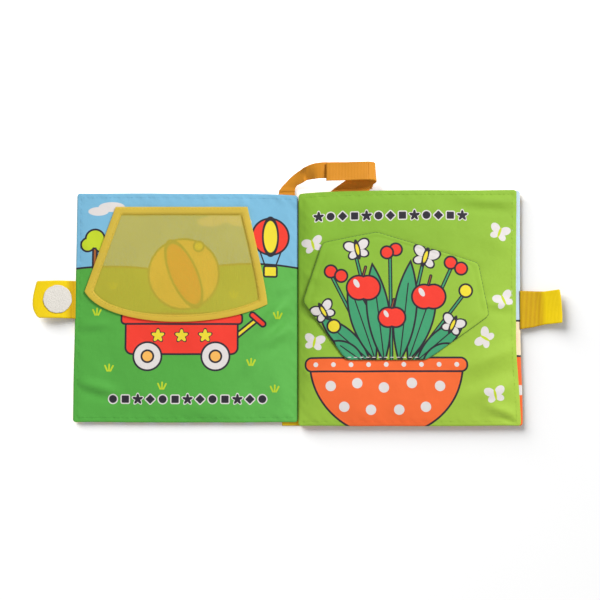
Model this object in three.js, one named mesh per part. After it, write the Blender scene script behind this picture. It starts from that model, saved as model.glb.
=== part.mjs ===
// A crinkle cloth book for a baby, lying open on a table at its first spread.
// Three soft leaves hang from one spine: the front cover lies open on the left, and the middle leaf lies on the
// back cover on the right. Each leaf is a sewn pouch of two printed panels round a crackling film and a wadding.
// A sheer peek-a-boo flap is sewn to the left page and a padded picture flap to the right page. A ribbon tab on
// each fore edge closes the book, and a ribbon loop at the top of the spine hangs it up.
// Millimetres. X runs across the open book, Y to the top of its pages and Z up, from the table under the spine.
import * as THREE from "three";

// Leaves
const gutterGap = 1; // from the middle of the spine to the edge of each leaf
const coverWidth = 151; // spine edge to fore edge of both covers
const pageWidth = coverWidth - 2; // the middle leaf stops short of the covers
const frontCoverHeight = 156;
const rightLeafHeight = 159.5;
const leafBottom = 78; // how far the front cover reaches below the middle of the spine
const rightLeafDrop = 2.4; // how much lower the right leaves reach
const cornerRadius = 3;
const topDip = 3.6; // how far the spine seam draws the top edges in
const bottomDip = 1.6; // and the bottom edges
const dipReach = 26; // how far from the spine that pull is felt
const clothThickness = 0.6;
const sewnGap = 0.3; // between pieces that are sewn or laid on each other
const frontCoverPad = 4.6; // thickness in the middle of the front cover
const backCoverPad = 4.2;
const middleLeafPad = 4.3;
const rimLift = 1.35; // how far the sewn rim of a cover stands off the table
const crownPower = 6; // how square the swelling of a leaf is: higher is flatter with a steeper rim
const flatShare = 1.6; // above 1, the middle of the underside is pressed flat by the table
const filmThickness = 0.25;
const seamThickness = 2 * clothThickness + sewnGap;

// Spine
const spineWidth = 22;
const spineThickness = 0.5;
const spineOverhang = 3; // how far the spine cloth shows below the front cover
const spineTopInset = 2;
const riseMargin = 6; // how much further the leaves are raised than what lies under them
const riseBlend = 8; // over which they come down to the table again

// Sheer flap on the left page
const sheerTopWidth = 0.596 * coverWidth;
const sheerMiddle = 0.528 * coverWidth; // from the spine to the middle of its sewn edge
const sheerTopHeight = 68; // from the middle of the spine up to its sewn edge
const sheerLeftFlare = 0.136 * coverWidth;
const sheerRightFlare = 0.092 * coverWidth;
const sheerLeftDrop = 58;
const sheerRightDrop = 65.3;
const sheerSag = 31.8; // how far the bottom edge's control point lies below its corners
const sheerBow = 1.4; // how far the right side bows out
const hemWidth = 5.6;
const hemThickness = 1.1;
const sheerThickness = 0.4;
const flapWave = 0.25; // half the height of the shallow waves in the loose flaps
const flapWaveLength = 46;

// Picture flap on the right page
const pictureMiddle = 0.423 * pageWidth; // from the spine to the middle of the flap
const pictureHalfWidth = 0.416 * pageWidth;
const pictureHeight = 86.5;
const pictureHinge = 36.5; // from the middle of the spine down to its sewn edge
const flapClothThickness = 0.5;
const flapFilmThickness = 0.2;
const droopShare = 0.4; // how much of the page's fall a flap follows where it overhangs the rim

// Closing tabs
const tabRibbonWidth = 25;
const tabRibbonThickness = 0.6;
const frontTabLength = 25.5;
const backTabLength = 25.7;
const frontTabUp = 4.4; // middle of the tab above the middle of the spine
const backTabDown = 2.3;
const frontTabSlant = 2.7; // how far the folded end runs out of square
const backTabSlant = 0.8;
const frontTabTilt = 6; // degrees
const backTabTilt = 4;
const discRadius = 9.8;
const discThickness = 1;
const discChamfer = 0.25;
const discOffset = 11.3; // from the fore edge to the middle of the disc

// Carrying strap
const strapWidth = 12.5;
const strapThickness = 0.8;
const strapRootLength = 10.5; // sewn down under the covers
const strapExit = 80.6; // where the strap comes free of the book, up from the middle of the spine
const strapLeftX = 8; // middle of the short ribbon, left of the spine
const strapRunY = 92.6; // middle of the upper run
const shortRunHeight = 8.4; // middle of the short ribbon's upper run above the table
const shortRunEnd = 38;
const shortRunStart = 8;
const strapBendX = 48; // where the long ribbon's upper run begins
const strapBendOut = 5;
const strapFreeEnd = 19; // the cut end of the long ribbon, from the spine
const longRootX = 36.9; // where the long ribbon crosses the top edge of the back cover
const longRootHalfSpan = 12.8; // half the width of its slanting cut there
const patchThickness = 0.6;
const patchGap = 0.25;
const patchLength = 15;
const patchWidth = 10.5;
const cutLean = 12; // how far the long ribbon's slanting sewn end runs to the left under the cover

// The short ribbon's twist between its root and its upper run: shares across, out and up, and the span's turn
const twistShares = [
  { across: 0.1, out: 0.3, up: 0.22, turn: [1, 0, 0.25] },
  { across: 0.4, out: 0.62, up: 0.66, turn: [0.45, 0.1, 0.8] },
  { across: 0.68, out: 0.86, up: 0.95, turn: [0, 0.6, 0.7] },
];
// The long ribbon's lower run from the cover's edge to its bend: shares along and out, and the span's turn
const lowerRunShares = [
  { along: 0.86, out: 0.49, turn: [0.51, -0.86, 0] },
  { along: 1, out: 0.75, turn: [0.22, -0.97, 0] },
];

// What follows from the sizes above
const strapRootHeight = spineThickness + sewnGap + strapThickness / 2;
const channelHeight = spineThickness + sewnGap + strapThickness + sewnGap;
const middleLeafTop = backCoverPad + sewnGap + middleLeafPad;
const sheerBase = frontCoverPad + sewnGap;
const pictureBase = middleLeafTop + sewnGap;
const freeEndHeight =
  shortRunHeight + strapThickness + 2 * patchThickness + 3 * patchGap;
const seamMiddle = rimLift + seamThickness / 2;

// Steps of the meshes
const cornerSteps = 3;
const ribbonStepsBetween = 4;
const bendSteps = 9;
const discSides = 32;
const leafAcrossShares = [0.095, 0.18, 0.34, 0.44, 0.62, 0.81]; // from the spine edge, close where it rises
const leafUpShares = [0.2, 0.4, 0.6, 0.8];
const panelRingShares = [1, 0.95, 0.88, 0.78, 0.5];
const fillRingShares = [0.78, 0.5]; // the film and the wadding stop short of the seam
const flapRingShares = [1, 0.86, 0.72, 0.38];
const flapFilmRingShares = [0.86, 0.72, 0.38];

const clothColours = {
  leftPage: 0x5aaf4b,
  coverCloth: 0xf0c81e,
  rightPage: 0x91c641,
  orange: 0xf59a3c,
  film: 0xe8e8ea,
  wadding: 0xf4f2ec,
  sheer: 0xb4b250,
  hem: 0xdcb946,
  strap: 0xe49e3c,
  white: 0xeeeae2,
};

function cloth(colour, roughness = 0.85) {
  return new THREE.MeshStandardMaterial({
    color: colour,
    roughness,
    metalness: 0,
  });
}

function clamp(value) {
  return Math.min(1, Math.max(0, value));
}

// 0 before from, 1 after to, and smooth between them.
function ramp(value, from, to) {
  const share = clamp((value - from) / (to - from));
  return share * share * (3 - 2 * share);
}

// A closed mesh from corner points and the triangles between them.
function closedGeometry(points, triangles) {
  const geometry = new THREE.BufferGeometry();
  const positions = points.flatMap((point) => [point.x, point.y, point.z]);
  geometry.setAttribute(
    "position",
    new THREE.Float32BufferAttribute(positions, 3),
  );
  geometry.setIndex(triangles);
  geometry.computeVertexNormals();
  return geometry;
}

// A pad between two surfaces, over an outline that runs counter-clockwise. Rings of points shrink to the
// outline's middle, and place moves each one in the plane, for edges that are drawn in.
function padGeometry(outline, ringShares, lower, upper, place = (x, y) => [x, y]) {
  const count = outline.length;
  const middle = outline
    .reduce((sum, point) => sum.add(point), new THREE.Vector2())
    .divideScalar(count);
  const levels = [lower, upper];
  const points = [];
  const triangles = [];
  const at = (level, ring, step) => (level * ringShares.length + ring) * count + (step % count);
  for (const surface of levels)
    for (const share of ringShares)
      for (const corner of outline) {
        const [x, y] = place(
          middle.x + share * (corner.x - middle.x),
          middle.y + share * (corner.y - middle.y),
        );
        points.push(new THREE.Vector3(x, y, surface(x, y)));
      }
  const [middleX, middleY] = place(middle.x, middle.y);
  const hubs = levels.map((surface) => {
    points.push(new THREE.Vector3(middleX, middleY, surface(middleX, middleY)));
    return points.length - 1;
  });
  const face = (level, a, b, c) => triangles.push(...(level ? [a, b, c] : [a, c, b]));
  for (let step = 0; step < count; step++) {
    for (const level of [0, 1]) {
      for (let ring = 0; ring + 1 < ringShares.length; ring++) {
        const outer = [at(level, ring, step), at(level, ring, step + 1)];
        const inner = [at(level, ring + 1, step), at(level, ring + 1, step + 1)];
        face(level, outer[0], outer[1], inner[1]);
        face(level, outer[0], inner[1], inner[0]);
      }
      const last = ringShares.length - 1;
      face(level, at(level, last, step), at(level, last, step + 1), hubs[level]);
    }
    const low = [at(0, 0, step), at(0, 0, step + 1)];
    const high = [at(1, 0, step), at(1, 0, step + 1)];
    triangles.push(low[0], low[1], high[1], low[0], high[1], high[0]);
  }
  return closedGeometry(points, triangles);
}

// A flat band between two outlines with as many points each, as a hem goes round a flap.
function bandGeometry(outer, inner, lower, upper) {
  const count = outer.length;
  const rings = [
    [outer, lower],
    [outer, upper],
    [inner, upper],
    [inner, lower],
  ];
  const points = rings.flatMap(([outline, surface]) =>
    outline.map((point) => new THREE.Vector3(point.x, point.y, surface(point.x, point.y))),
  );
  const triangles = [];
  rings.forEach((_, ring) => {
    const next = (ring + 1) % rings.length;
    for (let step = 0; step < count; step++) {
      const after = (step + 1) % count;
      const [a, b] = [ring * count + step, ring * count + after];
      const [c, d] = [next * count + step, next * count + after];
      triangles.push(a, b, d, a, d, c);
    }
  });
  return closedGeometry(points, triangles);
}

// A ribbon laid along stations. Each has a middle and a half span, which reaches from the middle to one edge.
function ribbonGeometry(stations, thickness) {
  const points = [];
  const triangles = [];
  const last = stations.length - 1;
  stations.forEach(({ middle, halfSpan }, step) => {
    const before = stations[Math.max(0, step - 1)].middle;
    const after = stations[Math.min(last, step + 1)].middle;
    const rise = new THREE.Vector3()
      .subVectors(after, before)
      .cross(halfSpan)
      .setLength(thickness / 2);
    for (const [side, level] of [[-1, -1], [1, -1], [1, 1], [-1, 1]])
      points.push(middle.clone().addScaledVector(halfSpan, side).addScaledVector(rise, level));
  });
  for (let step = 0; step < last; step++)
    for (let corner = 0; corner < 4; corner++) {
      const next = (corner + 1) % 4;
      const [a, b] = [4 * step + corner, 4 * step + next];
      triangles.push(a, b, b + 4, a, b + 4, a + 4);
    }
  const end = 4 * last;
  triangles.push(0, 2, 1, 0, 3, 2, end, end + 1, end + 2, end, end + 2, end + 3);
  return closedGeometry(points, triangles);
}

function station(x, y, z, halfSpan) {
  return { middle: new THREE.Vector3(x, y, z), halfSpan };
}

// Stations of a smooth ribbon: its middle follows a curve through the given ones, and its span turns evenly.
function smoothStations(given, stepsBetween) {
  const curve = new THREE.CatmullRomCurve3(
    given.map(({ middle }) => middle),
    false,
    "centripetal",
  );
  const spans = given.length - 1;
  return Array.from({ length: spans * stepsBetween + 1 }, (_, step) => {
    const index = Math.min(spans - 1, Math.floor(step / stepsBetween));
    const share = step / stepsBetween - index;
    const [from, to] = [given[index].halfSpan, given[index + 1].halfSpan];
    const halfSpan = from.clone().lerp(to, share);
    halfSpan.setLength(THREE.MathUtils.lerp(from.length(), to.length(), share));
    return { middle: curve.getPoint(step / (spans * stepsBetween)), halfSpan };
  });
}

// A counter-clockwise rectangle with round corners. Its edges get points at shares from the left and from below.
function roundedOutline(left, right, low, high, radius, acrossShares = [], upShares = []) {
  const outline = [];
  const arc = (x, y, quarter) => {
    for (let step = 0; step <= cornerSteps; step++) {
      const angle = ((quarter + step / cornerSteps) * Math.PI) / 2;
      outline.push(new THREE.Vector2(x + radius * Math.cos(angle), y + radius * Math.sin(angle)));
    }
  };
  const across = acrossShares.map((share) => THREE.MathUtils.lerp(left, right, share));
  const up = upShares.map((share) => THREE.MathUtils.lerp(low, high, share));
  const along = (values, pointAt) => values.forEach((value) => outline.push(pointAt(value)));
  arc(right - radius, high - radius, 0);
  along(across.toReversed(), (x) => new THREE.Vector2(x, high));
  arc(left + radius, high - radius, 1);
  along(up.toReversed(), (y) => new THREE.Vector2(left, y));
  arc(left + radius, low + radius, 2);
  along(across, (x) => new THREE.Vector2(x, low));
  arc(right - radius, low + radius, 3);
  along(up, (y) => new THREE.Vector2(right, y));
  return outline;
}

// The outline moved inwards by a distance, each corner along the line that halves it.
function insetOutline(outline, distance) {
  const count = outline.length;
  return outline.map((point, step) => {
    const before = outline[(step + count - 1) % count];
    const after = outline[(step + 1) % count];
    const arriving = point.clone().sub(before).normalize();
    const leaving = after.clone().sub(point).normalize();
    const inwards = new THREE.Vector2(-arriving.y - leaving.y, arriving.x + leaving.x).normalize();
    const across = inwards.x * -arriving.y + inwards.y * arriving.x;
    return point.clone().addScaledVector(inwards, distance / across);
  });
}

// A leaf on one side of the spine, with its edges drawn in towards the spine seam.
function makeLeaf(side, width, low, high) {
  const near = gutterGap;
  const far = gutterGap + width;
  const pull = (x) => Math.exp((near - Math.abs(x)) / dipReach);
  const highEdge = (x) => high - topDip * pull(x);
  const lowEdge = (x) => low + bottomDip * pull(x);
  const place = (x, y) => {
    const share = (y - low) / (high - low);
    return [x, lowEdge(x) + share * (highEdge(x) - lowEdge(x))];
  };
  const swell = (share) => 1 - Math.abs(2 * clamp(share) - 1) ** crownPower;
  const crown = (x, y) =>
    swell((Math.abs(x) - near) / width) * swell((y - lowEdge(x)) / (highEdge(x) - lowEdge(x)));
  const [left, right] = side > 0 ? [near, far] : [-far, -near];
  const acrossShares =
    side > 0 ? leafAcrossShares : leafAcrossShares.map((share) => 1 - share).reverse();
  const outline = roundedOutline(
    left,
    right,
    low,
    high,
    cornerRadius,
    acrossShares,
    leafUpShares,
  );
  return { far, high, place, crown, outline };
}

const frontCover = makeLeaf(-1, coverWidth, -leafBottom, frontCoverHeight - leafBottom);
const rightLow = -leafBottom - rightLeafDrop;
const backCover = makeLeaf(1, coverWidth, rightLow, rightLow + rightLeafHeight);
const middleLeaf = makeLeaf(1, pageWidth, rightLow, rightLow + rightLeafHeight);

// How far a cover is raised over the spine cloth, and at the top over the sewn end of the strap, which reaches
// strapReach from the spine.
function rise(x, y, strapReach) {
  const out = Math.abs(x);
  const spineReach = spineWidth / 2 + sewnGap;
  const overSpine = (spineThickness + sewnGap) * (1 - ramp(out, spineReach, spineReach + riseBlend));
  const strapSide = strapReach + riseMargin;
  const strapLow = strapExit - strapRootLength;
  const overStrap =
    channelHeight *
    (1 - ramp(out, strapSide, strapSide + riseBlend)) *
    ramp(y, strapLow - riseBlend, strapLow - sewnGap);
  return Math.max(overSpine, overStrap);
}

// The undersides and tops of the leaves, as heights over the plane.
const frontUnder = (x, y) =>
  Math.max(
    rimLift * (1 - clamp(flatShare * frontCover.crown(x, y))),
    rise(x, y, strapLeftX + strapWidth / 2),
  );
const frontTop = (x, y) =>
  Math.max(
    THREE.MathUtils.lerp(rimLift + seamThickness, frontCoverPad, frontCover.crown(x, y)),
    frontUnder(x, y) + seamThickness,
  );
const backUnder = (x, y) =>
  Math.max(
    rimLift * (1 - clamp(flatShare * backCover.crown(x, y))),
    rise(x, y, longRootX + longRootHalfSpan),
  );
const backTop = (x, y) =>
  Math.max(
    THREE.MathUtils.lerp(rimLift + seamThickness, backCoverPad, backCover.crown(x, y)),
    backUnder(x, y) + seamThickness,
  );
const middleUnder = (x, y) => backTop(x, y) + sewnGap;
const middleTop = (x, y) =>
  Math.max(
    THREE.MathUtils.lerp(
      rimLift + 2 * seamThickness + sewnGap,
      middleLeafTop,
      middleLeaf.crown(x, y),
    ),
    middleUnder(x, y) + seamThickness,
  );

function offset(surface, distance) {
  return (x, y) => surface(x, y) + distance;
}

const book = new THREE.Group();
const frontCoverGroup = new THREE.Group();
const middleLeafGroup = new THREE.Group();
const backCoverGroup = new THREE.Group();
book.add(frontCoverGroup, middleLeafGroup, backCoverGroup);

function addPiece(group, name, geometry, material) {
  const mesh = new THREE.Mesh(geometry, material);
  mesh.name = name;
  group.add(mesh);
  return mesh;
}

// The four pieces of one leaf: the lower and upper panels, the crackling film and the wadding between them.
function addLeaf(group, leaf, under, top, names, colours) {
  const lowerPanel = padGeometry(
    leaf.outline,
    panelRingShares,
    under,
    offset(under, clothThickness),
    leaf.place,
  );
  const upperPanel = padGeometry(
    leaf.outline,
    panelRingShares,
    offset(top, -clothThickness),
    top,
    leaf.place,
  );
  const filmUnder = clothThickness + sewnGap;
  const waddingUnder = filmUnder + filmThickness + sewnGap;
  const film = padGeometry(
    leaf.outline,
    fillRingShares,
    offset(under, filmUnder),
    offset(under, filmUnder + filmThickness),
    leaf.place,
  );
  const wadding = padGeometry(
    leaf.outline,
    fillRingShares,
    offset(under, waddingUnder),
    offset(top, -clothThickness - sewnGap),
    leaf.place,
  );
  addPiece(group, names.lower, lowerPanel, cloth(colours.lower));
  addPiece(group, names.upper, upperPanel, cloth(colours.upper));
  addPiece(group, names.film, film, cloth(clothColours.film, 0.3));
  addPiece(group, names.wadding, wadding, cloth(clothColours.wadding, 0.95));
}

addLeaf(
  frontCoverGroup,
  frontCover,
  frontUnder,
  frontTop,
  {
    lower: "front_cover_outer",
    upper: "front_cover_inner",
    film: "front_cover_film",
    wadding: "front_cover_wadding",
  },
  { lower: clothColours.coverCloth, upper: clothColours.leftPage },
);
addLeaf(
  middleLeafGroup,
  middleLeaf,
  middleUnder,
  middleTop,
  {
    lower: "middle_leaf_back",
    upper: "middle_leaf_front",
    film: "middle_leaf_film",
    wadding: "middle_leaf_wadding",
  },
  { lower: clothColours.orange, upper: clothColours.rightPage },
);
addLeaf(
  backCoverGroup,
  backCover,
  backUnder,
  backTop,
  {
    lower: "back_cover_outer",
    upper: "back_cover_inner",
    film: "back_cover_film",
    wadding: "back_cover_wadding",
  },
  { lower: clothColours.coverCloth, upper: clothColours.orange },
);

// The spine cloth lies flat on the table and carries the three leaves along its middle.
const spineLow = -leafBottom + bottomDip - spineOverhang;
const spineHigh = frontCover.high - topDip - spineTopInset;
addPiece(
  backCoverGroup,
  "spine_binding",
  padGeometry(
    roundedOutline(-spineWidth / 2, spineWidth / 2, spineLow, spineHigh, spineThickness),
    [1],
    () => 0,
    () => spineThickness,
  ),
  cloth(clothColours.coverCloth),
);

// A flap lies just clear of its page, falls a little with the page's rim and has shallow waves.
function flapSurface(page, pageCrownHeight, base) {
  return (x, y) =>
    base -
    droopShare * (pageCrownHeight - page(x, y)) +
    flapWave * (1 + Math.sin((2 * Math.PI * (x + y)) / flapWaveLength));
}

// Points along a chain of curves, without the last point of each.
function pointsAlong(curves) {
  return curves.flatMap(({ curve, steps }) =>
    Array.from({ length: steps }, (_, step) => curve.getPoint(step / steps)),
  );
}

// The sheer flap hangs from its straight top edge and is widest near its round bottom edge.
function addSheerFlap() {
  const topLeft = new THREE.Vector2(-sheerMiddle - sheerTopWidth / 2, sheerTopHeight);
  const topRight = new THREE.Vector2(-sheerMiddle + sheerTopWidth / 2, sheerTopHeight);
  const lowLeft = new THREE.Vector2(
    topLeft.x - sheerLeftFlare,
    sheerTopHeight - sheerLeftDrop,
  );
  const lowRight = new THREE.Vector2(
    topRight.x + sheerRightFlare,
    sheerTopHeight - sheerRightDrop,
  );
  const bottomPull = new THREE.Vector2(
    (lowLeft.x + lowRight.x) / 2,
    (lowLeft.y + lowRight.y) / 2 - sheerSag,
  );
  const bowPull = new THREE.Vector2(
    (lowRight.x + topRight.x) / 2 + sheerBow,
    (lowRight.y + topRight.y) / 2 + sheerBow,
  );
  const outline = pointsAlong([
    { curve: new THREE.LineCurve(topRight, topLeft), steps: 5 },
    { curve: new THREE.LineCurve(topLeft, lowLeft), steps: 4 },
    { curve: new THREE.QuadraticBezierCurve(lowLeft, bottomPull, lowRight), steps: 10 },
    { curve: new THREE.QuadraticBezierCurve(lowRight, bowPull, topRight), steps: 5 },
  ]);
  const inner = insetOutline(outline, hemWidth);
  const panel = insetOutline(outline, hemWidth + sewnGap);
  const lower = flapSurface(frontTop, frontCoverPad, sheerBase);
  const panelUnder = offset(lower, (hemThickness - sheerThickness) / 2);
  addPiece(
    frontCoverGroup,
    "sheer_hem",
    bandGeometry(outline, inner, lower, offset(lower, hemThickness)),
    cloth(clothColours.hem),
  );
  addPiece(
    frontCoverGroup,
    "sheer_panel",
    padGeometry(panel, flapRingShares, panelUnder, offset(panelUnder, sheerThickness)),
    cloth(clothColours.sheer, 0.6),
  );
}

// The picture flap is a seven-sided pouch, sewn to the page along its bottom edge.
const pictureCornerShares = [
  [-0.47, 0],
  [0.36, 0],
  [0.52, 0.1],
  [1, 0.38],
  [0.93, 0.77],
  [-0.14, 1],
  [-0.72, 0.92],
  [-0.96, 0.54],
];

function addPictureFlap() {
  const corners = pictureCornerShares.map(
    ([across, up]) =>
      new THREE.Vector2(
        pictureMiddle + across * pictureHalfWidth,
        up * pictureHeight - pictureHinge,
      ),
  );
  const outline = pointsAlong(
    corners.map((corner, step) => ({
      curve: new THREE.LineCurve(corner, corners[(step + 1) % corners.length]),
      steps: 3,
    })),
  );
  const under = flapSurface(middleTop, middleLeafTop, pictureBase);
  const filmUnder = offset(under, flapClothThickness + sewnGap / 2);
  const frontUnderside = offset(under, flapClothThickness + flapFilmThickness + sewnGap);
  addPiece(
    middleLeafGroup,
    "picture_flap_back",
    padGeometry(outline, flapRingShares, under, offset(under, flapClothThickness)),
    cloth(clothColours.orange),
  );
  addPiece(
    middleLeafGroup,
    "picture_flap_film",
    padGeometry(
      outline,
      flapFilmRingShares,
      filmUnder,
      offset(filmUnder, flapFilmThickness),
    ),
    cloth(clothColours.film, 0.3),
  );
  addPiece(
    middleLeafGroup,
    "picture_flap_front",
    padGeometry(
      outline,
      flapRingShares,
      frontUnderside,
      offset(frontUnderside, flapClothThickness),
    ),
    cloth(clothColours.rightPage),
  );
}

addSheerFlap();
addPictureFlap();

// A tab is a ribbon folded back on itself, with both ends sewn into the fore edge. It runs out along +X here.
const tabFoldRadius = (tabRibbonThickness + sewnGap) / 2;
const tabFoldSteps = 6;

function tabGeometry(length, slant) {
  const run = length - tabFoldRadius;
  const half = tabRibbonWidth / 2;
  const stations = [
    station(0, 0, -tabFoldRadius, new THREE.Vector3(0, half, 0)),
    station(run / 2, 0, -tabFoldRadius, new THREE.Vector3(slant / 2, half, 0)),
  ];
  for (let step = 0; step <= tabFoldSteps; step++) {
    const angle = Math.PI * (step / tabFoldSteps - 1 / 2);
    const [out, up] = [tabFoldRadius * Math.cos(angle), tabFoldRadius * Math.sin(angle)];
    stations.push(station(run + out, 0, up, new THREE.Vector3(slant, half, 0)));
  }
  stations.push(
    station(run / 2, 0, tabFoldRadius, new THREE.Vector3(slant / 2, half, 0)),
    station(0, 0, tabFoldRadius, new THREE.Vector3(0, half, 0)),
  );
  return ribbonGeometry(stations, tabRibbonThickness);
}

// A round hook or loop patch with its rim pressed down, lying on the plane z = 0.
function discGeometry() {
  const profile = [
    new THREE.Vector2(0, 0),
    new THREE.Vector2(discRadius, 0),
    new THREE.Vector2(discRadius, discThickness - discChamfer),
    new THREE.Vector2(discRadius - discChamfer, discThickness),
    new THREE.Vector2(0, discThickness),
  ];
  return new THREE.LatheGeometry(profile, discSides).rotateX(Math.PI / 2);
}

// Each tab stands in its own group at the fore edge, tilted up off the table.
function addTab(parent, names, tab) {
  const group = new THREE.Group();
  group.position.set(tab.side * (tab.foreEdge + sewnGap), tab.y, seamMiddle);
  group.rotation.y = THREE.MathUtils.degToRad(-tab.side * tab.tilt);
  parent.add(group);
  const ribbon = addPiece(
    group,
    names.ribbon,
    tabGeometry(tab.length, tab.slant),
    cloth(clothColours.coverCloth),
  );
  if (tab.side < 0) ribbon.rotation.z = Math.PI;
  const disc = addPiece(group, names.disc, discGeometry(), cloth(clothColours.white, 0.95));
  const clear = tabFoldRadius + tabRibbonThickness / 2 + sewnGap;
  disc.position.set(tab.side * discOffset, 0, tab.discUp ? clear : -clear);
  disc.rotation.x = tab.discUp ? 0 : Math.PI;
}

addTab(
  frontCoverGroup,
  { ribbon: "front_tab_ribbon", disc: "front_tab_hook_disc" },
  {
    side: -1,
    foreEdge: frontCover.far,
    y: frontTabUp,
    length: frontTabLength,
    slant: frontTabSlant,
    tilt: frontTabTilt,
    discUp: true,
  },
);
addTab(
  backCoverGroup,
  { ribbon: "back_tab_ribbon", disc: "back_tab_loop_disc" },
  {
    side: 1,
    foreEdge: backCover.far,
    y: -backTabDown,
    length: backTabLength,
    slant: -backTabSlant,
    tilt: backTabTilt,
    discUp: false,
  },
);

// The strap is two ribbons. The short one comes from the spine, twists over and runs to the right. The long one
// comes from under the back cover, bends back over itself and closes on the short one with two patches.
function addStrap() {
  const half = strapWidth / 2;
  const strapMaterial = () => cloth(clothColours.strap, 0.7);
  const acrossX = new THREE.Vector3(half, 0, 0);
  const rootEnd = strapExit - sewnGap / 2;
  const freeStart = strapExit + sewnGap / 2;
  addPiece(
    backCoverGroup,
    "strap_root_left",
    ribbonGeometry(
      [
        station(-strapLeftX, strapExit - strapRootLength, strapRootHeight, acrossX),
        station(-strapLeftX, rootEnd, strapRootHeight, acrossX),
      ],
      strapThickness,
    ),
    strapMaterial(),
  );
  const slantCut = new THREE.Vector3(longRootHalfSpan, 0, 0);
  addPiece(
    backCoverGroup,
    "strap_root_right",
    ribbonGeometry(
      [
        station(
          longRootX - cutLean,
          strapExit - strapRootLength,
          strapRootHeight,
          slantCut,
        ),
        station(longRootX, rootEnd, strapRootHeight, slantCut),
      ],
      strapThickness,
    ),
    strapMaterial(),
  );

  // The short ribbon climbs from the root, turns on edge in its twist and lies flat again on the upper run.
  const reach = strapRunY - freeStart;
  const climb = shortRunHeight - strapRootHeight;
  const span = (x, y, z) => new THREE.Vector3(x, y, z).setLength(half);
  const acrossY = span(0, 1, 0);
  const shortRibbon = smoothStations(
    [
      station(-strapLeftX, freeStart, strapRootHeight, acrossX),
      ...twistShares.map(({ across, out, up, turn }) =>
        station(
          THREE.MathUtils.lerp(-strapLeftX, shortRunStart, across),
          freeStart + out * reach,
          strapRootHeight + up * climb,
          span(...turn),
        ),
      ),
      station(shortRunStart, strapRunY, shortRunHeight, acrossY),
      station((shortRunStart + shortRunEnd) / 2, strapRunY, shortRunHeight, acrossY),
      station(shortRunEnd, strapRunY, shortRunHeight, acrossY),
    ],
    ribbonStepsBetween,
  );
  addPiece(
    backCoverGroup,
    "strap_short_ribbon",
    ribbonGeometry(shortRibbon, strapThickness),
    strapMaterial(),
  );

  // The long ribbon's lower run turns from its slanting cut to the bend, which rises to the upper run.
  const bendRadius = (freeEndHeight - strapRootHeight) / 2;
  const bendMiddle = strapRootHeight + bendRadius;
  const lowerRun = lowerRunShares.map(({ along, out, turn }) =>
    station(
      THREE.MathUtils.lerp(longRootX, strapBendX, along),
      freeStart + out * reach,
      strapRootHeight,
      span(...turn),
    ),
  );
  const lowerStations = [station(longRootX, freeStart, strapRootHeight, slantCut), ...lowerRun];
  const bendStart = lowerRun.at(-1);
  const bendStations = Array.from({ length: bendSteps }, (_, step) => {
    const share = (step + 1) / bendSteps;
    const angle = Math.PI * (share - 1 / 2);
    return station(
      strapBendX + strapBendOut * Math.cos(angle),
      THREE.MathUtils.lerp(bendStart.middle.y, strapRunY, share),
      bendMiddle + bendRadius * Math.sin(angle),
      bendStart.halfSpan.clone().lerp(span(0, -1, 0), share).setLength(half),
    );
  });
  addPiece(
    backCoverGroup,
    "strap_long_ribbon",
    ribbonGeometry([...lowerStations, ...bendStations], strapThickness),
    strapMaterial(),
  );
  addPiece(
    backCoverGroup,
    "strap_end_ribbon",
    ribbonGeometry(
      [
        station(strapBendX - sewnGap, strapRunY, freeEndHeight, span(0, -1, 0)),
        station(strapFreeEnd, strapRunY, freeEndHeight, span(0, -1, 0)),
      ],
      strapThickness,
    ),
    strapMaterial(),
  );

  // Both patches lie over each other between the short ribbon and the free end of the long one.
  const patchMiddle = (shortRunEnd + strapFreeEnd) / 2;
  const patchSpan = new THREE.Vector3(0, -patchWidth / 2, 0);
  const hookHeight = shortRunHeight + (strapThickness + patchThickness) / 2 + patchGap;
  const loopHeight = freeEndHeight - (strapThickness + patchThickness) / 2 - patchGap;
  for (const [name, height] of [
    ["strap_hook_patch", hookHeight],
    ["strap_loop_patch", loopHeight],
  ])
    addPiece(
      backCoverGroup,
      name,
      ribbonGeometry(
        [
          station(patchMiddle + patchLength / 2, strapRunY, height, patchSpan),
          station(patchMiddle - patchLength / 2, strapRunY, height, patchSpan),
        ],
        patchThickness,
      ),
      cloth(clothColours.strap, 0.95),
    );
}

addStrap();

export default book;
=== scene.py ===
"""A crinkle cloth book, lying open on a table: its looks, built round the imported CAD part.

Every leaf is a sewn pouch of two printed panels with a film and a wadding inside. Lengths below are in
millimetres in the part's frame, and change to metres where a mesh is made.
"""

import math

import bpy
import numpy as np
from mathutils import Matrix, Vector


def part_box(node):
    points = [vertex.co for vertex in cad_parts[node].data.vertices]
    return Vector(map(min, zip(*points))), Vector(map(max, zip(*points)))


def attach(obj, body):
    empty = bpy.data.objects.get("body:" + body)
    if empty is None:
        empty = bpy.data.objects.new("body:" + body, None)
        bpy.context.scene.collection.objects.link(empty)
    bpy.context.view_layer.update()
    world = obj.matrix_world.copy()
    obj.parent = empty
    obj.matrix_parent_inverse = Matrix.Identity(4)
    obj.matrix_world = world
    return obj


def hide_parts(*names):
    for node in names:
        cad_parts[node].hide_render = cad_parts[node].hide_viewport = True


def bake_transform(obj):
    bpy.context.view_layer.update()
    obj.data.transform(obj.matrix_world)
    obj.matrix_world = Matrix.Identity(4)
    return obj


MM = 0.001

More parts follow.
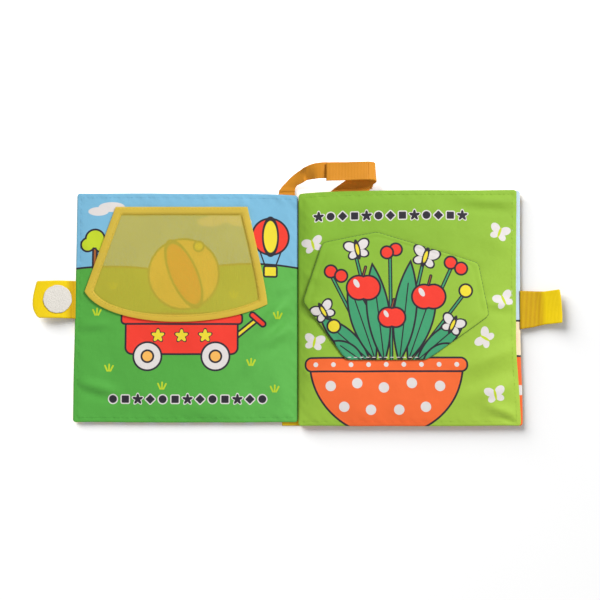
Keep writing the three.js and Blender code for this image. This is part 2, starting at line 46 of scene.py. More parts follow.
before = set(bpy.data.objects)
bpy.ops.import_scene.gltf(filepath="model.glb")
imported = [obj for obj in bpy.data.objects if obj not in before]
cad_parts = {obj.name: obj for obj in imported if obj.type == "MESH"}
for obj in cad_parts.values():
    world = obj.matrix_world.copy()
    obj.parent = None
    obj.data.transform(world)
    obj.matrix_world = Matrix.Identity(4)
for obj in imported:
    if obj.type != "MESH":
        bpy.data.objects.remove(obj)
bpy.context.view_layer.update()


# Sizes that the frame gives
def node_box(node):
    """The lowest and highest corner of a CAD node, in millimetres."""
    low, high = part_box(node)
    return np.array(low) / MM, np.array(high) / MM


# Leaves
SEAM_GAP = 0.15  # half the gap between two panels at their seam
CLOTH = 0.5  # thickness of a panel
CLEARANCE = 0.3  # between cloths that lie on each other
ROLL = 1.1  # how far from the edge a panel curls down to its seam
CORNER = 2.2  # radius of a leaf's corners
RIM_LIFT = 1.35  # the underside of a leaf at its rim, over what it lies on
SEAM_RISE = 0.75  # the seam above the underside of the rim
CROWN_POWER = 6  # the higher, the flatter is the middle of a leaf
CROWN_SLOPE = 2.6  # the higher, the steeper is a leaf at its spine edge
FLAT_SHARE = 1.6  # the higher, the wider is the part of a cover that touches the table
LEFT_TOP_DIP = 1.6  # how far the spine seam draws the edges in, at the top and at the bottom
RIGHT_TOP_DIP = 2.9
BOTTOM_DIP = 0.1
DIP_REACH = 26  # how far from the spine it draws them in
BOTTOM_WAVE = 0.3  # how uneven the bottom and the top edge are
TOP_WAVE = 0.35
# How far out each fore edge lies, from the bottom at 0 to the top at 1
FRONT_FORE_EDGE = ((0, 0.22, 0.32, 0.75, 1), (0.47, 0.48, 0.17, -0.41, -0.58))
MIDDLE_FORE_EDGE = (
    (0, 0.025, 0.11, 0.22, 0.32, 0.58, 0.75, 1),
    (0.45, 0.42, -0.22, -1.3, -2.3, -1.9, -1.5, -0.57),
)
BACK_FORE_EDGE = ((0, 0.11, 0.32, 0.5, 0.7, 1), (-0.1, -0.05, -0.9, -0.75, -0.6, 0.0))
GUTTER = 0.12  # the cloth swells until the leaves almost touch at the gutter
PAGE_SINK = 0.45  # the open pages lie this much lower than their solids, to leave room for their folds
GUTTER_SLOPE = 15  # how far from the spine the pages begin to slope down to it
STITCH_INSET = 3.1  # the topstitched line in from the edge
STITCH_DEPTH = 0.06
STITCH_WIDTH = 0.45  # of the groove that it pulls
# Distances of the first points of a leaf's grid from its edge
RIM_STEPS = (0, 0.1, 0.35, 0.7, 1.2, 1.9, 2.5, 2.85, 3.1, 3.35, 3.8, 4.8, 6.2)
PUCKER_PITCH = 8.3  # the puckers along the topstitching
PUCKER_DEPTH = 0.13
PUCKER_REACH = 3.4
LARGE_WAVE = 0.45  # how uneven a page is between its folds
SMALL_WAVE = 0.18
RISE_SLOPE = 8  # over which a cover comes down again beside the spine cloth and the strap's sewn end
ROOT_REACH = 6
BEND_END = 15.0
BEND_PITCH = 0.7  # between the points of a leaf's grid over its bend
PLAIN_SPINE = 17.0  # the covers carry no dots this near to the spine

# What lies inside a leaf, over its underside and under its top
FILM_LIFT = 0.75
FILM_THICKNESS = 0.2
FILM_WAVE = 0.1
FILM_ROLL = 1.0  # it thins out to its rim over this distance
WADDING_LIFT = 1.3
WADDING_DROP = 1.35  # its top under the leaf's
WADDING_ROLL = 6.0
FILLING_POINTS = 36  # along each side of a film or wadding

# Settling of the two open pages as simulated cloth
SIM_PITCH = 3.0
SIM_SCALE = 10.0  # the cloth settles at ten times its size
SIM_FRAMES = 26
SIM_CAP = 1.8  # how far a point may move
FULLNESS = 0.25  # how much longer the cloth is than its seam
FULLNESS_REACH = 16.0
FLAP_FULLNESS = 0.7  # the same along a flap's seam, as a share
FLAP_FULLNESS_REACH = 9

# Flaps
HEM_WIDTH = 5.6
SHEER_GAP = 0.25  # between the sheer flap and its page
SHEER_CLOTH = 0.2
FLAP_GAP = 0.15  # between the picture flap and its page
FLAP_SEAM = 0.6  # the picture flap's seam over its underside
FLAP_CLOTH = 0.4
FLAP_FILM = 0.15
FLAP_FILM_LIFT = 0.85  # over the flap's underside
FLAP_FILM_SHARE = 0.9  # the film's size, as a share of the flap's
FLAP_RIM = 0.5  # the front cloth over the seam at the rim, and what it rises inside
FLAP_PUFF = 0.55

# Ribbons
TAB_WIDTH = 25.0
STRAP_WIDTH = 12.5
RIBBON = 0.7  # thickness
TAB_FOLD = 0.62  # radius of a tab's fold
TAB_CLOSE = 0.25  # how much nearer its two layers lie in the seam
TAB_BOW = 0.45  # how far the upper one bows up between the seam and the fold
DISC_RADIUS = 9.6
DISC_INSET = 15.6  # of a disc's middle, from the folded end of its tab
PATCH_HALF = 5.25  # half the width of the strap's hook and loop patches
PATCH_ENDS = (36, 21)
PATCH_THICKNESS = 0.6
STRAP_BEND = (80.6, 84)  # heights on the page between which the strap would bend; they are read but not used


def srgb(red, green, blue):
    """A colour as Blender's linear RGBA, from its usual values of 0 to 255."""
    values = np.array([red, green, blue]) / 255
    linear = np.where(values <= 0.04045, values / 12.92, ((values + 0.055) / 1.055) ** 2.4)
    return (*linear.tolist(), 1.0)


SKY = srgb(124, 187, 219)
PALE_SKY = srgb(196, 220, 234)
GRASS = srgb(84, 171, 66)
GRASS_LIT = srgb(96, 182, 78)  # painted light: lighter by the spine, where the page slopes down to it
LIME = srgb(133, 182, 51)
LIME_LOW = srgb(168, 202, 68)  # by the lower fore edge
ORANGE = srgb(248, 108, 50)
RED = srgb(246, 62, 46)
LEAF_GREEN = srgb(64, 160, 112)
WHITE = srgb(228, 222, 220)
YELLOW = srgb(242, 222, 52)
CREAM = srgb(248, 226, 190)
BALL = srgb(250, 186, 92)
INK = srgb(44, 40, 50)
TUFT = srgb(196, 216, 40)
COVER = srgb(240, 200, 20)
TAB = srgb(246, 212, 0)
# Painted shade on each tab's ribbon by its sewn ends, where the page's edge shades it
FRONT_TAB_SHADE = srgb(182, 118, 0)
BACK_TAB_SHADE = srgb(166, 96, 0)
STRAP = srgb(226, 148, 38)
ORGANZA = srgb(228, 209, 68)
HEM = srgb(236, 205, 74)
FELT = srgb(238, 233, 224)
FILM = srgb(226, 228, 232)
WADDING = srgb(242, 240, 234)
TRUNK = srgb(170, 96, 44)
TWIG = srgb(150, 84, 40)
# The dark line all round the picture flap's rim: painted shade for the shadow under the flap's edge
SHADOW_LINE_GREEN = srgb(78, 118, 32)
THREAD_YELLOW = srgb(226, 196, 72)


# Waves that look chance but are the same each time
def ripple(x, y, length, seed):
    """A smooth uneven surface from -1 to 1, with waves about this long."""
    total = 0
    for turn in range(5):
        angle = 2.4 * turn + 1.7 * seed
        pitch = length * (0.8 + 0.17 * ((3 * turn + seed) % 5))
        along = x * math.cos(angle) + y * math.sin(angle)
        total = total + np.sin(2 * math.pi * along / pitch + 2.1 * seed + 1.3 * turn)
    return total / 5


def smoothstep(value, low, high):
    """0 up to low, 1 from high, and a soft rise between them."""
    share = np.clip((value - low) / (high - low), 0, 1)
    return share * share * (3 - 2 * share)


def fold(x, y, start, end, width, height):
    """One soft fold of the cloth from start to end: a ridge, or a valley if height is below zero."""
    ax, ay = start
    dx, dy = end[0] - ax, end[1] - ay
    length = dx * dx + dy * dy
    share = ((x - ax) * dx + (y - ay) * dy) / length
    near = np.clip(share, 0, 1)
    distance = np.hypot(x - ax - near * dx, y - ay - near * dy)
    fading = np.sin(math.pi * (0.08 + 0.84 * near))
    return height * np.exp(-((distance / width) ** 2)) * fading


def reach_along(points):
    """How far along a chain each of its points lies."""
    return np.concatenate([[0], np.cumsum(np.linalg.norm(np.diff(points, axis=0), axis=1))])


def rounded_edge(edge, radius):
    """The height of a rounded rim at this distance from its edge, from 0 to 1."""
    return np.sqrt(np.clip(1 - (1 - np.clip(edge / radius, 0, 1)) ** 2, 0, 1))


# Meshes
def add_mesh(name, points, faces, flat=None, materials=(), smooth=True):
    """A mesh object from points in millimetres. flat is each point's place in the flat cloth, as its UV."""
    mesh = bpy.data.meshes.new(name)
    mesh.from_pydata((np.asarray(points) * MM).tolist(), [], faces)
    if flat is not None:
        layer = mesh.uv_layers.new(name="flat")
        corners = np.zeros(len(mesh.loops), np.int32)
        mesh.loops.foreach_get("vertex_index", corners)
        layer.data.foreach_set("uv", np.asarray(flat, np.float32)[corners].ravel())
    for material in materials:
        mesh.materials.append(material)
    mesh.polygons.foreach_set("use_smooth", [smooth] * len(mesh.polygons))
    mesh.update()
    piece = bpy.data.objects.new(name, mesh)
    bpy.context.scene.collection.objects.link(piece)
    return piece


def apply_modifiers(piece):
    """Keeps the mesh as its modifiers show it, and takes them off."""
    shown = piece.evaluated_get(bpy.context.evaluated_depsgraph_get())
    mesh = bpy.data.meshes.new_from_object(shown)
    mesh.name = piece.name
    piece.modifiers.clear()
    piece.data = mesh
    return piece


def thicken(piece, thickness):
    """Gives a sheet its thickness, on the side away from its normals."""
    solid = piece.modifiers.new("thickness", "SOLIDIFY")
    solid.thickness = thickness * MM
    solid.offset = -1
    return apply_modifiers(piece)


def grid_faces(columns, rows, up=True):
    """The quads of a grid of points that were laid row by row."""
    faces = []
    for row in range(rows - 1):
        for column in range(columns - 1):
            a = row * columns + column
            quad = [a, a + 1, a + columns + 1, a + columns]
            faces.append(quad if up else quad[::-1])
    return faces


def tube_faces(rings, count, first=0):
    """The quads between closed rings that have this many points each."""
    faces = []
    for ring in range(rings - 1):
        for step in range(count):
            a = first + ring * count + step
            b = first + ring * count + (step + 1) % count
            faces.append([a, b, b + count, a + count])
    return faces


def as_points(x, y, z):
    """The points of a grid as a list."""
    return np.stack([x.ravel(), y.ravel(), z.ravel()], 1)


def ride_and_slot(piece, body, slot, *nodes):
    """Attaches a piece to the body it rides on and hides the CAD nodes that it stands for. The slot is not
    used. A piece whose body is None is attached to nothing."""
    if body:
        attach(piece, body)
    if nodes:
        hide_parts(*nodes)
    return piece


class Leaf:
    """One leaf of the book: its outline on the plane and its swelling."""

    def __init__(self, node, fore_edge, below=0.0, above=0.0):
        """below and above are what the cloth adds to its CAD solid's height."""
        low, high = node_box(node)
        self.side = 1 if high[0] > 0 else -1
        self.fore_edge = fore_edge
        self.top_dip = RIGHT_TOP_DIP if self.side > 0 else LEFT_TOP_DIP
        self.near = GUTTER
        self.far = max(abs(low[0]), abs(high[0]))
        self.low, self.high = low[1] - below, high[1] + above
        self.width = self.far - self.near
        self.height = self.high - self.low

    def steps(self, length, pitch):
        """Distances across the leaf, close together at both rims and at the topstitching."""
        rim = np.array(RIM_STEPS)
        count = int(round((length - 2 * rim[-1]) / pitch))
        middle = np.linspace(rim[-1], length - rim[-1], count + 1)
        return np.concatenate([rim[:-1], middle, length - rim[:-1][::-1]])

    def grid(self, pitch):
        """The grid's distances from the spine and from the bottom edge, close together at the bend."""
        columns = self.steps(self.width, pitch)
        bend = np.arange(BEND_PITCH, BEND_END + 2, BEND_PITCH)
        rim = columns[columns < BEND_PITCH]
        beyond = columns[columns > bend[-1] + BEND_PITCH / 2]
        across, up = np.meshgrid(np.concatenate([rim, bend, beyond]), self.steps(self.height, pitch))
        return across, up

    def place(self, across, up):
        """Where a point of the flat leaf lies: corners rounded, edges drawn in and a little uneven."""
        a, b = self.rounded(across, up)
        share = b / self.height
        x = self.near + a
        pull = np.exp(-a / DIP_REACH)
        low = self.low + BOTTOM_DIP * pull + BOTTOM_WAVE * ripple(a, 0 * a, 47, 2)
        high = self.high - self.top_dip * pull + TOP_WAVE * ripple(a, 0 * a, 52, self.side + 4)
        y = low + share * (high - low)
        out = sum(np.interp(share + step, *self.fore_edge) for step in (-0.04, 0, 0.04)) / 3
        return self.side * (x + out * a / self.width), y

    def rounded(self, across, up):
        """The corners of the rectangle rounded, as a square maps to a disc."""
        a = (across - self.width / 2) / (self.width / 2)
        b = (up - self.height / 2) / (self.height / 2)
        da = np.clip((np.abs(a) - 1) * self.width / 2 / CORNER + 1, 0, 1)
        db = np.clip((np.abs(b) - 1) * self.height / 2 / CORNER + 1, 0, 1)
        shrink_a = da * (1 - np.sqrt(1 - db * db / 2)) * CORNER
        shrink_b = db * (1 - np.sqrt(1 - da * da / 2)) * CORNER
        return across - np.sign(a) * shrink_a, up - np.sign(b) * shrink_b

    def edge_distance(self, x, y):
        """How far a place on the page lies from the nearest edge."""
        a = np.abs(x) - self.near
        return np.minimum.reduce([a, self.width - a, y - self.low_edge(x), self.high_edge(x) - y])

    def pull(self, x):
        """1 at the spine, where the seam draws the edges in, and less further out."""
        return np.exp((self.near - np.abs(x)) / DIP_REACH)

    def low_edge(self, x):
        return self.low + BOTTOM_DIP * self.pull(x)

    def high_edge(self, x):
        return self.high - self.top_dip * self.pull(x)

    def crown(self, x, y):
        """0 at the rim and 1 over most of the leaf."""
        a = (np.abs(x) - self.near) / self.width
        b = (y - self.low_edge(x)) / (self.high_edge(x) - self.low_edge(x))
        slope = 1 - (1 - np.clip((np.abs(x) - self.near) / GUTTER_SLOPE, 0, 1)) ** CROWN_SLOPE
        return self.swell(np.maximum(a, 0.5)) * self.swell(b) * slope

    def swell(self, share):
        return 1 - np.abs(2 * np.clip(share, 0, 1) - 1) ** CROWN_POWER


front_leaf = Leaf("front_cover_inner", FRONT_FORE_EDGE, below=0.7, above=-0.4)
back_leaf = Leaf("back_cover_inner", BACK_FORE_EDGE, below=0.7, above=0.4)
middle_leaf = Leaf("middle_leaf_front", MIDDLE_FORE_EDGE, below=0.7, above=0.6)
FRONT_CROWN = node_box("front_cover_inner")[1][2] - PAGE_SINK
MIDDLE_CROWN = node_box("middle_leaf_front")[1][2] - PAGE_SINK
BACK_CROWN = node_box("back_cover_inner")[1][2]
SPINE_LOW, SPINE_HIGH = node_box("spine_binding")
ROOT_LEFT = node_box("strap_root_left")
ROOT_RIGHT = node_box("strap_root_right")
SEAM = 1.5  # thickness of the two cloths at a seam


def rise(x, y, root):
    """How far a cover is raised over the spine cloth and the strap's sewn end."""
    out = np.abs(x)
    reach = SPINE_HIGH[0] + CLEARANCE
    over_spine = (SPINE_HIGH[2] + CLEARANCE) * (1 - smoothstep(out, reach, reach + RISE_SLOPE))
    low, high = root
    strap_reach = max(abs(low[0]), abs(high[0])) + ROOT_REACH
    height = (high[2] + CLEARANCE) * (1 - smoothstep(out, strap_reach, strap_reach + RISE_SLOPE))
    return np.maximum(over_spine, height * smoothstep(y, low[1] - RISE_SLOPE, low[1] - CLEARANCE))


def under_cover(leaf, root):
    """The underside of a cover: flat on the table, and raised at its rim and over the spine."""
    return lambda x, y: np.maximum(
        RIM_LIFT * (1 - np.clip(FLAT_SHARE * leaf.crown(x, y), 0, 1)), rise(x, y, root)
    )


def over(leaf, rim, crown, under):
    """The top of a leaf without its folds, from its rim's height to its crown's."""
    return lambda x, y: np.maximum(rim + (crown - rim) * leaf.crown(x, y), under(x, y) + SEAM)


front_under = under_cover(front_leaf, ROOT_LEFT)
back_under = under_cover(back_leaf, ROOT_RIGHT)
front_plain = over(front_leaf, RIM_LIFT + SEAM, FRONT_CROWN, front_under)
back_plain = over(back_leaf, RIM_LIFT + SEAM, BACK_CROWN, back_under)


def middle_under(x, y):
    """The underside of the middle leaf, which lies on the back cover."""
    return back_plain(x, y) + CLEARANCE


middle_plain = over(middle_leaf, RIM_LIFT + 2 * SEAM + CLEARANCE, MIDDLE_CROWN, middle_under)

# Folds of the two open pages: start, end, width and height
LEFT_FOLDS = (
    ((-150, -51), (-122, -58), 3.2, 1.9),
    ((-150, -57), (-124, -64), 3.0, -1.1),
    ((-150, -13.5), (-128, -12), 3.0, 1.6),
    ((-150, -19), (-131, -17.5), 2.8, -0.6),
    ((-7, 4), (-26, -14), 3.2, 2.3),
    ((-4, -3), (-20, -18), 2.8, -1.3),
    ((-5, -14), (-24, -27), 3.0, 1.9),
    ((-4, -22), (-20, -33), 2.8, -1.0),
    ((-24, -31), (-39, -48), 3.6, 1.1),
    ((-2, 15), (-15, 9), 2.6, 0.9),
    ((-38, 77), (-38, 68), 2, 0.5),
    ((-11, -76), (-14, -40), 5, 0.5),
    ((-96, -66), (-50, -73), 5, 0.6),
    ((-148, 58), (-142, 24), 5, 0.6),
)
RIGHT_FOLDS = (
    ((108, 73), (149, 71), 3.2, 1.5),
    ((112, 66.5), (149, 65), 3.2, -0.9),
    ((124, 2), (147, 0.5), 2.8, 1.2),
    ((128, -4), (147, -6), 2.8, -0.6),
    ((108, -43), (149, -27), 5.2, 2.5),
    ((112, -55), (149, -42), 5.0, -1.4),
    ((112, -62), (149, -52), 5.5, 1.2),
    ((126, -67), (150, -75), 2.8, 1.9),
    ((131, -74), (149, -81), 2.5, -0.9),
    ((2, 22), (15, 17), 2.5, 0.8),
    ((2, 1), (15, 3), 2.4, 0.9),
    ((2, -6), (14, -9), 2.2, -0.7),
    ((2, -44), (12, -50), 3, 0.6),
    ((8, 69), (90, 72), 5, 0.6),
    ((118, 48), (147, 40), 6, 0.7),
)


def read_grid(values, across, up):
    """The value between the points of a grid, at shares of 0 to 1 of its width and height."""
    rows, columns = values.shape
    u = np.clip(across, 0, 1) * (columns - 1)
    v = np.clip(up, 0, 1) * (rows - 1)
    column, row = np.minimum(u.astype(int), columns - 2), np.minimum(v.astype(int), rows - 2)
    u, v = u - column, v - row
    low = values[row, column] * (1 - u) + values[row, column + 1] * u
    high = values[row + 1, column] * (1 - u) + values[row + 1, column + 1] * u
    return low * (1 - v) + high * v


def settled(leaf, plain, sewn, seed):
    """How far the cloth of a page rises once it has settled: fuller than its seams, it puckers along them.
    sewn gives the flap's seam: its left and right end and its height on the page."""
    columns, rows = int(leaf.width / SIM_PITCH), int(leaf.height / SIM_PITCH)
    across = leaf.side * np.linspace(leaf.near, leaf.far, columns)
    x, y = np.meshgrid(across, np.linspace(leaf.low, leaf.high, rows))
    edge = leaf.edge_distance(x, y)
    start = plain(x, y) + 0.15 * ripple(x, y, 13, seed)
    faces = grid_faces(columns, rows, leaf.side > 0)
    cloth = add_mesh("settling", as_points(x, y, start) * SIM_SCALE, faces)
    left, right, sewn_y = sewn
    beside = (x > left) & (x < right)
    off_seam = np.abs(y - sewn_y)
    held = ((edge < STITCH_INSET) | ((off_seam < 0.6 * SIM_PITCH) & beside)).ravel()
    near_flap = FLAP_FULLNESS * np.exp(-off_seam / FLAP_FULLNESS_REACH) * beside
    near_seam = np.maximum(np.exp(-edge / FULLNESS_REACH), near_flap)
    groups = {"held": held * 1.0, "full": np.clip(near_seam, 0, 1).ravel()}
    for title, weights in groups.items():
        group = cloth.vertex_groups.new(name=title)
        for index in np.nonzero(weights > 0.01)[0]:
            group.add([int(index)], float(weights[index]), "REPLACE")
    settings = cloth.modifiers.new("cloth", "CLOTH").settings
    settings.quality = 5
    settings.mass = 0.3
    settings.bending_stiffness = 0.25
    settings.effector_weights.gravity = 0
    settings.vertex_group_mass = "held"
    settings.vertex_group_shrink = "full"
    settings.shrink_min = 0.0
    settings.shrink_max = -FULLNESS
    settings.use_pressure = True
    settings.uniform_pressure_force = 0.15
    for step in range(1, SIM_FRAMES + 1):
        bpy.context.scene.frame_set(step)
    moved = np.zeros(3 * rows * columns, np.float32)
    shown = cloth.evaluated_get(bpy.context.evaluated_depsgraph_get())
    shown.data.vertices.foreach_get("co", moved)
    height = moved.reshape(rows, columns, 3)[:, :, 2] / MM / SIM_SCALE
    bpy.data.objects.remove(cloth)
    bpy.context.scene.frame_set(1)
    rises = np.clip(height - plain(x, y), -SIM_CAP, SIM_CAP)

    def rise_at(x, y):
        return read_grid(rises, (np.abs(x) - leaf.near) / leaf.width, (y - leaf.low) / leaf.height)

    return rise_at


def crinkled(leaf, plain, folds, sewn, seed):
    """A page's surface with its stitched groove, the puckers along it, and its folds."""
    rise = settled(leaf, plain, sewn, seed)

    def surface(x, y):
        z = plain(x, y) + rise(np.asarray(x, float), np.asarray(y, float))
        edge = leaf.edge_distance(x, y)
        inside = smoothstep(edge, 0.6, 6.0)
        for start, end, width, height in folds:
            z = z + inside * fold(x, y, start, end, width, height)
        pucker = np.sin(2 * math.pi * (x + y) / PUCKER_PITCH + 2 * ripple(x, y, 31, seed))
        beside = np.exp(-(((edge - STITCH_INSET) / PUCKER_REACH) ** 2))
        z = z + PUCKER_DEPTH * pucker * beside * smoothstep(edge, 0.6, 2)
        z = z - STITCH_DEPTH * np.exp(-(((edge - STITCH_INSET) / STITCH_WIDTH) ** 2))
        waves = LARGE_WAVE * ripple(x, y, 41, seed) + SMALL_WAVE * ripple(x, y, 19, seed + 1)
        return z + inside * waves

    return surface


front_top = crinkled(front_leaf, front_plain, LEFT_FOLDS, (-125, -35, 66), 1)
middle_top = crinkled(middle_leaf, middle_plain, RIGHT_FOLDS, (34, 85, -35), 2)


# Materials
class Painter:
    """Paints flat shapes over each other in a material. Places are in the flat cloth's millimetres."""

    SOFT = 0.22  # over which a printed edge blurs
    OUTLINE = 1.3
    HALO = 0.75

    def __init__(self, name):
        self.material = bpy.data.materials.new(name)
        self.material.use_nodes = True
        self.nodes = self.material.node_tree.nodes
        self.links = self.material.node_tree.links
        self.shader = self.nodes["Principled BSDF"]
        place = self.nodes.new("ShaderNodeUVMap")
        place.uv_map = "flat"
        self.place = place.outputs["UV"]
        self.colour = None

    def feed(self, socket, value):
        """Links another node's output to a socket, or sets the socket's own value."""
        if hasattr(value, "is_linked"):
            self.links.new(value, socket)
        else:
            socket.default_value = value

    def number(self, operation, *values, clamp=False):
        node = self.nodes.new("ShaderNodeMath")
        node.operation = operation
        node.use_clamp = clamp
        for socket, value in zip(node.inputs, values):
            self.feed(socket, value)
        return node.outputs["Value"]

    def vector(self, operation, *values, out="Vector"):
        node = self.nodes.new("ShaderNodeVectorMath")
        node.operation = operation
        for socket, value in zip(node.inputs, values):
            self.feed(socket, value)
        return node.outputs[out]

    def mix(self, share, first, second, blend="MIX"):
        node = self.nodes.new("ShaderNodeMix")
        node.data_type = "RGBA"
        node.blend_type = blend
        self.feed(node.inputs["Factor"], share)
        self.feed(node.inputs[6], first)
        self.feed(node.inputs[7], second)
        return node.outputs[2]

    def axes(self, vector):
        """The first two numbers of a vector."""
        split = self.nodes.new("ShaderNodeSeparateXYZ")
        self.feed(split.inputs[0], vector)
        return split.outputs[0], split.outputs[1]

    def along(self, start, reach):
        """How far the place has come along a reach from its start, from 0 to 1."""
        step = self.vector("SUBTRACT", self.place, tuple(start))
        share = self.vector("DOT_PRODUCT", step, tuple(reach / (reach @ reach)), out="Value")
        return self.number("ADD", share, 0.0, clamp=True)

    def local(self, x, y, turn=0.0, wide=1.0, high=1.0):
        """The place seen from a shape's middle, turned by degrees and scaled by its size."""
        node = self.nodes.new("ShaderNodeMapping")
        node.vector_type = "TEXTURE"
        self.feed(node.inputs["Vector"], self.place)
        node.inputs["Location"].default_value = (x, y, 0)
        node.inputs["Rotation"].default_value = (0, 0, math.radians(turn))
        node.inputs["Scale"].default_value = (wide, high, 1)
        return node.outputs["Vector"]

    # Each shape gives the distance from its edge, below zero inside
    def disc(self, x, y, radius):
        away = self.vector("DISTANCE", self.place, (x, y, 0), out="Value")
        return self.number("SUBTRACT", away, radius)

    def oval(self, x, y, wide, high, turn=0.0):
        away = self.vector("LENGTH", self.local(x, y, turn, wide, high), out="Value")
        return self.number("MULTIPLY_ADD", away, min(wide, high), -min(wide, high))

    def box(self, x, y, half_wide, half_high, turn=0.0, radius=0.0):
        reach = self.vector("ABSOLUTE", self.local(x, y, turn))
        beyond = self.vector("SUBTRACT", reach, (half_wide - radius, half_high - radius, 0))
        if not radius:
            return self.number("MAXIMUM", *self.axes(beyond))
        outside = self.vector("LENGTH", self.vector("MAXIMUM", beyond, (0, 0, 0)), out="Value")
        return self.number("SUBTRACT", outside, radius)

    def line(self, start, end, half_width):
        a = np.array([*start, 0.0])
        reach = np.array([*end, 0.0]) - a
        scaled = self.vector("MULTIPLY_ADD", self.along(a, reach), tuple(reach), tuple(a))
        away = self.vector("DISTANCE", self.place, scaled, out="Value")
        return self.number("SUBTRACT", away, half_width)

    def blade(self, start, end, half_width):
        """A pointed leaf from start to end, between two arcs."""
        a, b = np.array(start, float), np.array(end, float)
        length = np.linalg.norm(b - a)
        radius = (length * length / 4 + half_width * half_width) / (2 * half_width)
        side = np.array([-(b - a)[1], (b - a)[0]]) / length * (radius - half_width)
        middle = (a + b) / 2
        first = self.vector("DISTANCE", self.place, (*(middle + side), 0), out="Value")
        second = self.vector("DISTANCE", self.place, (*(middle - side), 0), out="Value")
        return self.number("SUBTRACT", self.number("MAXIMUM", first, second), radius)

    def star(self, x, y, radius, swing, points=5):
        """A star with one point upwards and an edge that swings in and out like a wave."""
        step = self.vector("SUBTRACT", self.place, (x, y, 0))
        across, up = self.axes(step)
        angle = self.number("ARCTAN2", up, across)
        turned = self.number("MULTIPLY_ADD", angle, points, -points * math.pi / 2)
        wave = self.number("COSINE", turned)
        edge = self.number("MULTIPLY_ADD", wave, swing, radius)
        return self.number("SUBTRACT", self.vector("LENGTH", step, out="Value"), edge)

    def ramp(self, start, end, first, second):
        """A colour that changes evenly from the first to the second between two places."""
        a = np.array([*start, 0.0])
        reach = np.array([*end, 0.0]) - a
        return self.mix(self.along(a, reach), first, second)

    def join(self, *distances):
        """The outline round several shapes together."""
        joined = distances[0]
        for other in distances[1:]:
            joined = self.number("MINIMUM", joined, other)
        return joined

    def cut(self, distance, other):
        """Only the part of a shape that lies in the other too."""
        return self.number("MAXIMUM", distance, other)

    def paint(self, distance, colour, grow=0.0):
        """Covers the inside of a shape, grown by this much, with a colour."""
        mask = self.number("MULTIPLY_ADD", distance, -1 / self.SOFT, 0.5 + grow / self.SOFT, clamp=True)
        self.colour = self.mix(mask, self.colour, colour)

    def draw(self, distance, colour, outline=OUTLINE):
        """A shape with its outline round it."""
        self.paint(distance, INK, outline / 2)
        self.paint(distance, colour, -outline / 2)

    def haloed(self, distance):
        """A dark shape with a white line round it."""
        self.paint(distance, WHITE, self.HALO)
        self.paint(distance, INK)

    def noise(self, pitch, detail=2.0, kind="FBM", stretch=(1, 1)):
        """Uneven clouds or creases about this many millimetres apart."""
        node = self.nodes.new("ShaderNodeTexNoise")
        node.noise_type = kind
        node.noise_dimensions = "2D"
        scaled = self.vector("MULTIPLY", self.place, (stretch[0] / pitch, stretch[1] / pitch, 0))
        self.feed(node.inputs["Vector"], scaled)
        node.inputs["Scale"].default_value = 1.0
        node.inputs["Detail"].default_value = detail
        return node.outputs["Fac"]

    def wave(self, pitch, axis):
        """A wave along one axis of the flat cloth."""
        turns = self.number("MULTIPLY", self.axes(self.place)[axis], 2 * math.pi / pitch)
        return self.number("SINE", turns)

    def threads(self, pitch):
        """The crossing threads of a plain weave, from 0 between them to 1."""
        crossed = self.number("MULTIPLY", self.wave(pitch, 0), self.wave(pitch, 1))
        return self.number("MULTIPLY_ADD", crossed, 0.5, 0.5)

    def ribs(self, pitch):
        """Ribs across the flat cloth."""
        return self.number("MULTIPLY_ADD", self.wave(pitch, 0), 0.5, 0.5)

    def ends(self, reach, length):
        """1 at both ends of a ribbon of this length, and 0 from beyond this reach: the mask of the painted
        shade by a tab's seam.
        """
        blur = 4.0
        middle = self.number("SUBTRACT", self.axes(self.place)[0], length / 2)
        inwards = self.number("SUBTRACT", length / 2, self.number("ABSOLUTE", middle))
        return self.number("MULTIPLY_ADD", inwards, -1 / blur, (reach + blur / 2) / blur, clamp=True)

    def bump(self, height, distance, before=None):
        """A surface with this relief, in millimetres, over the one before."""
        node = self.nodes.new("ShaderNodeBump")
        node.inputs["Distance"].default_value = distance * MM
        self.feed(node.inputs["Height"], height)
        if before is not None:
            self.feed(node.inputs["Normal"], before)
        return node.outputs["Normal"]

    def finish(self, roughness, normal, sheen=0.0, specular=0.4, fade=0.08, fade_pitch=30):
        """Feeds the painted colour, a little uneven, and the surface to the shader."""
        clouds = self.number("MULTIPLY_ADD", self.noise(fade_pitch), -2 * fade, 1 + fade)
        grey = self.nodes.new("ShaderNodeCombineColor")
        for socket in grey.inputs:
            self.feed(socket, clouds)
        tinted = self.mix(1.0, self.colour, grey.outputs[0], "MULTIPLY")
        self.feed(self.shader.inputs["Base Color"], tinted)
        self.shader.inputs["Roughness"].default_value = roughness
        self.shader.inputs["Specular IOR Level"].default_value = specular
        self.shader.inputs["Sheen Weight"].default_value = sheen
        self.feed(self.shader.inputs["Normal"], normal)
        return self.material


def darker(colour, share):
    """A colour with its red, green and blue at this share."""
    return (*(share * value for value in colour[:3]), 1.0)


def printed(painter):
    """The finish of printed polyester cloth over a crackling film."""
    creases = painter.bump(painter.noise(26, 3, "RIDGED_MULTIFRACTAL"), 0.12)
    soft = painter.bump(painter.noise(11, 2), 0.35, creases)
    weave = painter.bump(painter.threads(0.52), 0.05, soft)
    return painter.finish(0.62, weave, sheen=0.05, specular=0.25, fade=0.05)


def plain_cloth(name, colour, dots=None, dot_pitch=15.0, dot_radius=3.2):
    """Plain or polka-dotted cloth."""
    painter = Painter(name)
    painter.colour = colour
    if dots:
        for shift in (0.0, 0.5):
            moved = painter.vector("MULTIPLY_ADD", painter.place, (1 / dot_pitch,) * 3, (shift, shift, 0))
            cell = painter.vector("FRACTION", moved)
            away = painter.vector("DISTANCE", cell, (0.5, 0.5, 0), out="Value")
            painter.paint(painter.number("MULTIPLY_ADD", away, dot_pitch, -dot_radius), dots)
        painter.paint(painter.box(0, 0, PLAIN_SPINE, front_leaf.height), colour)
    return printed(painter)


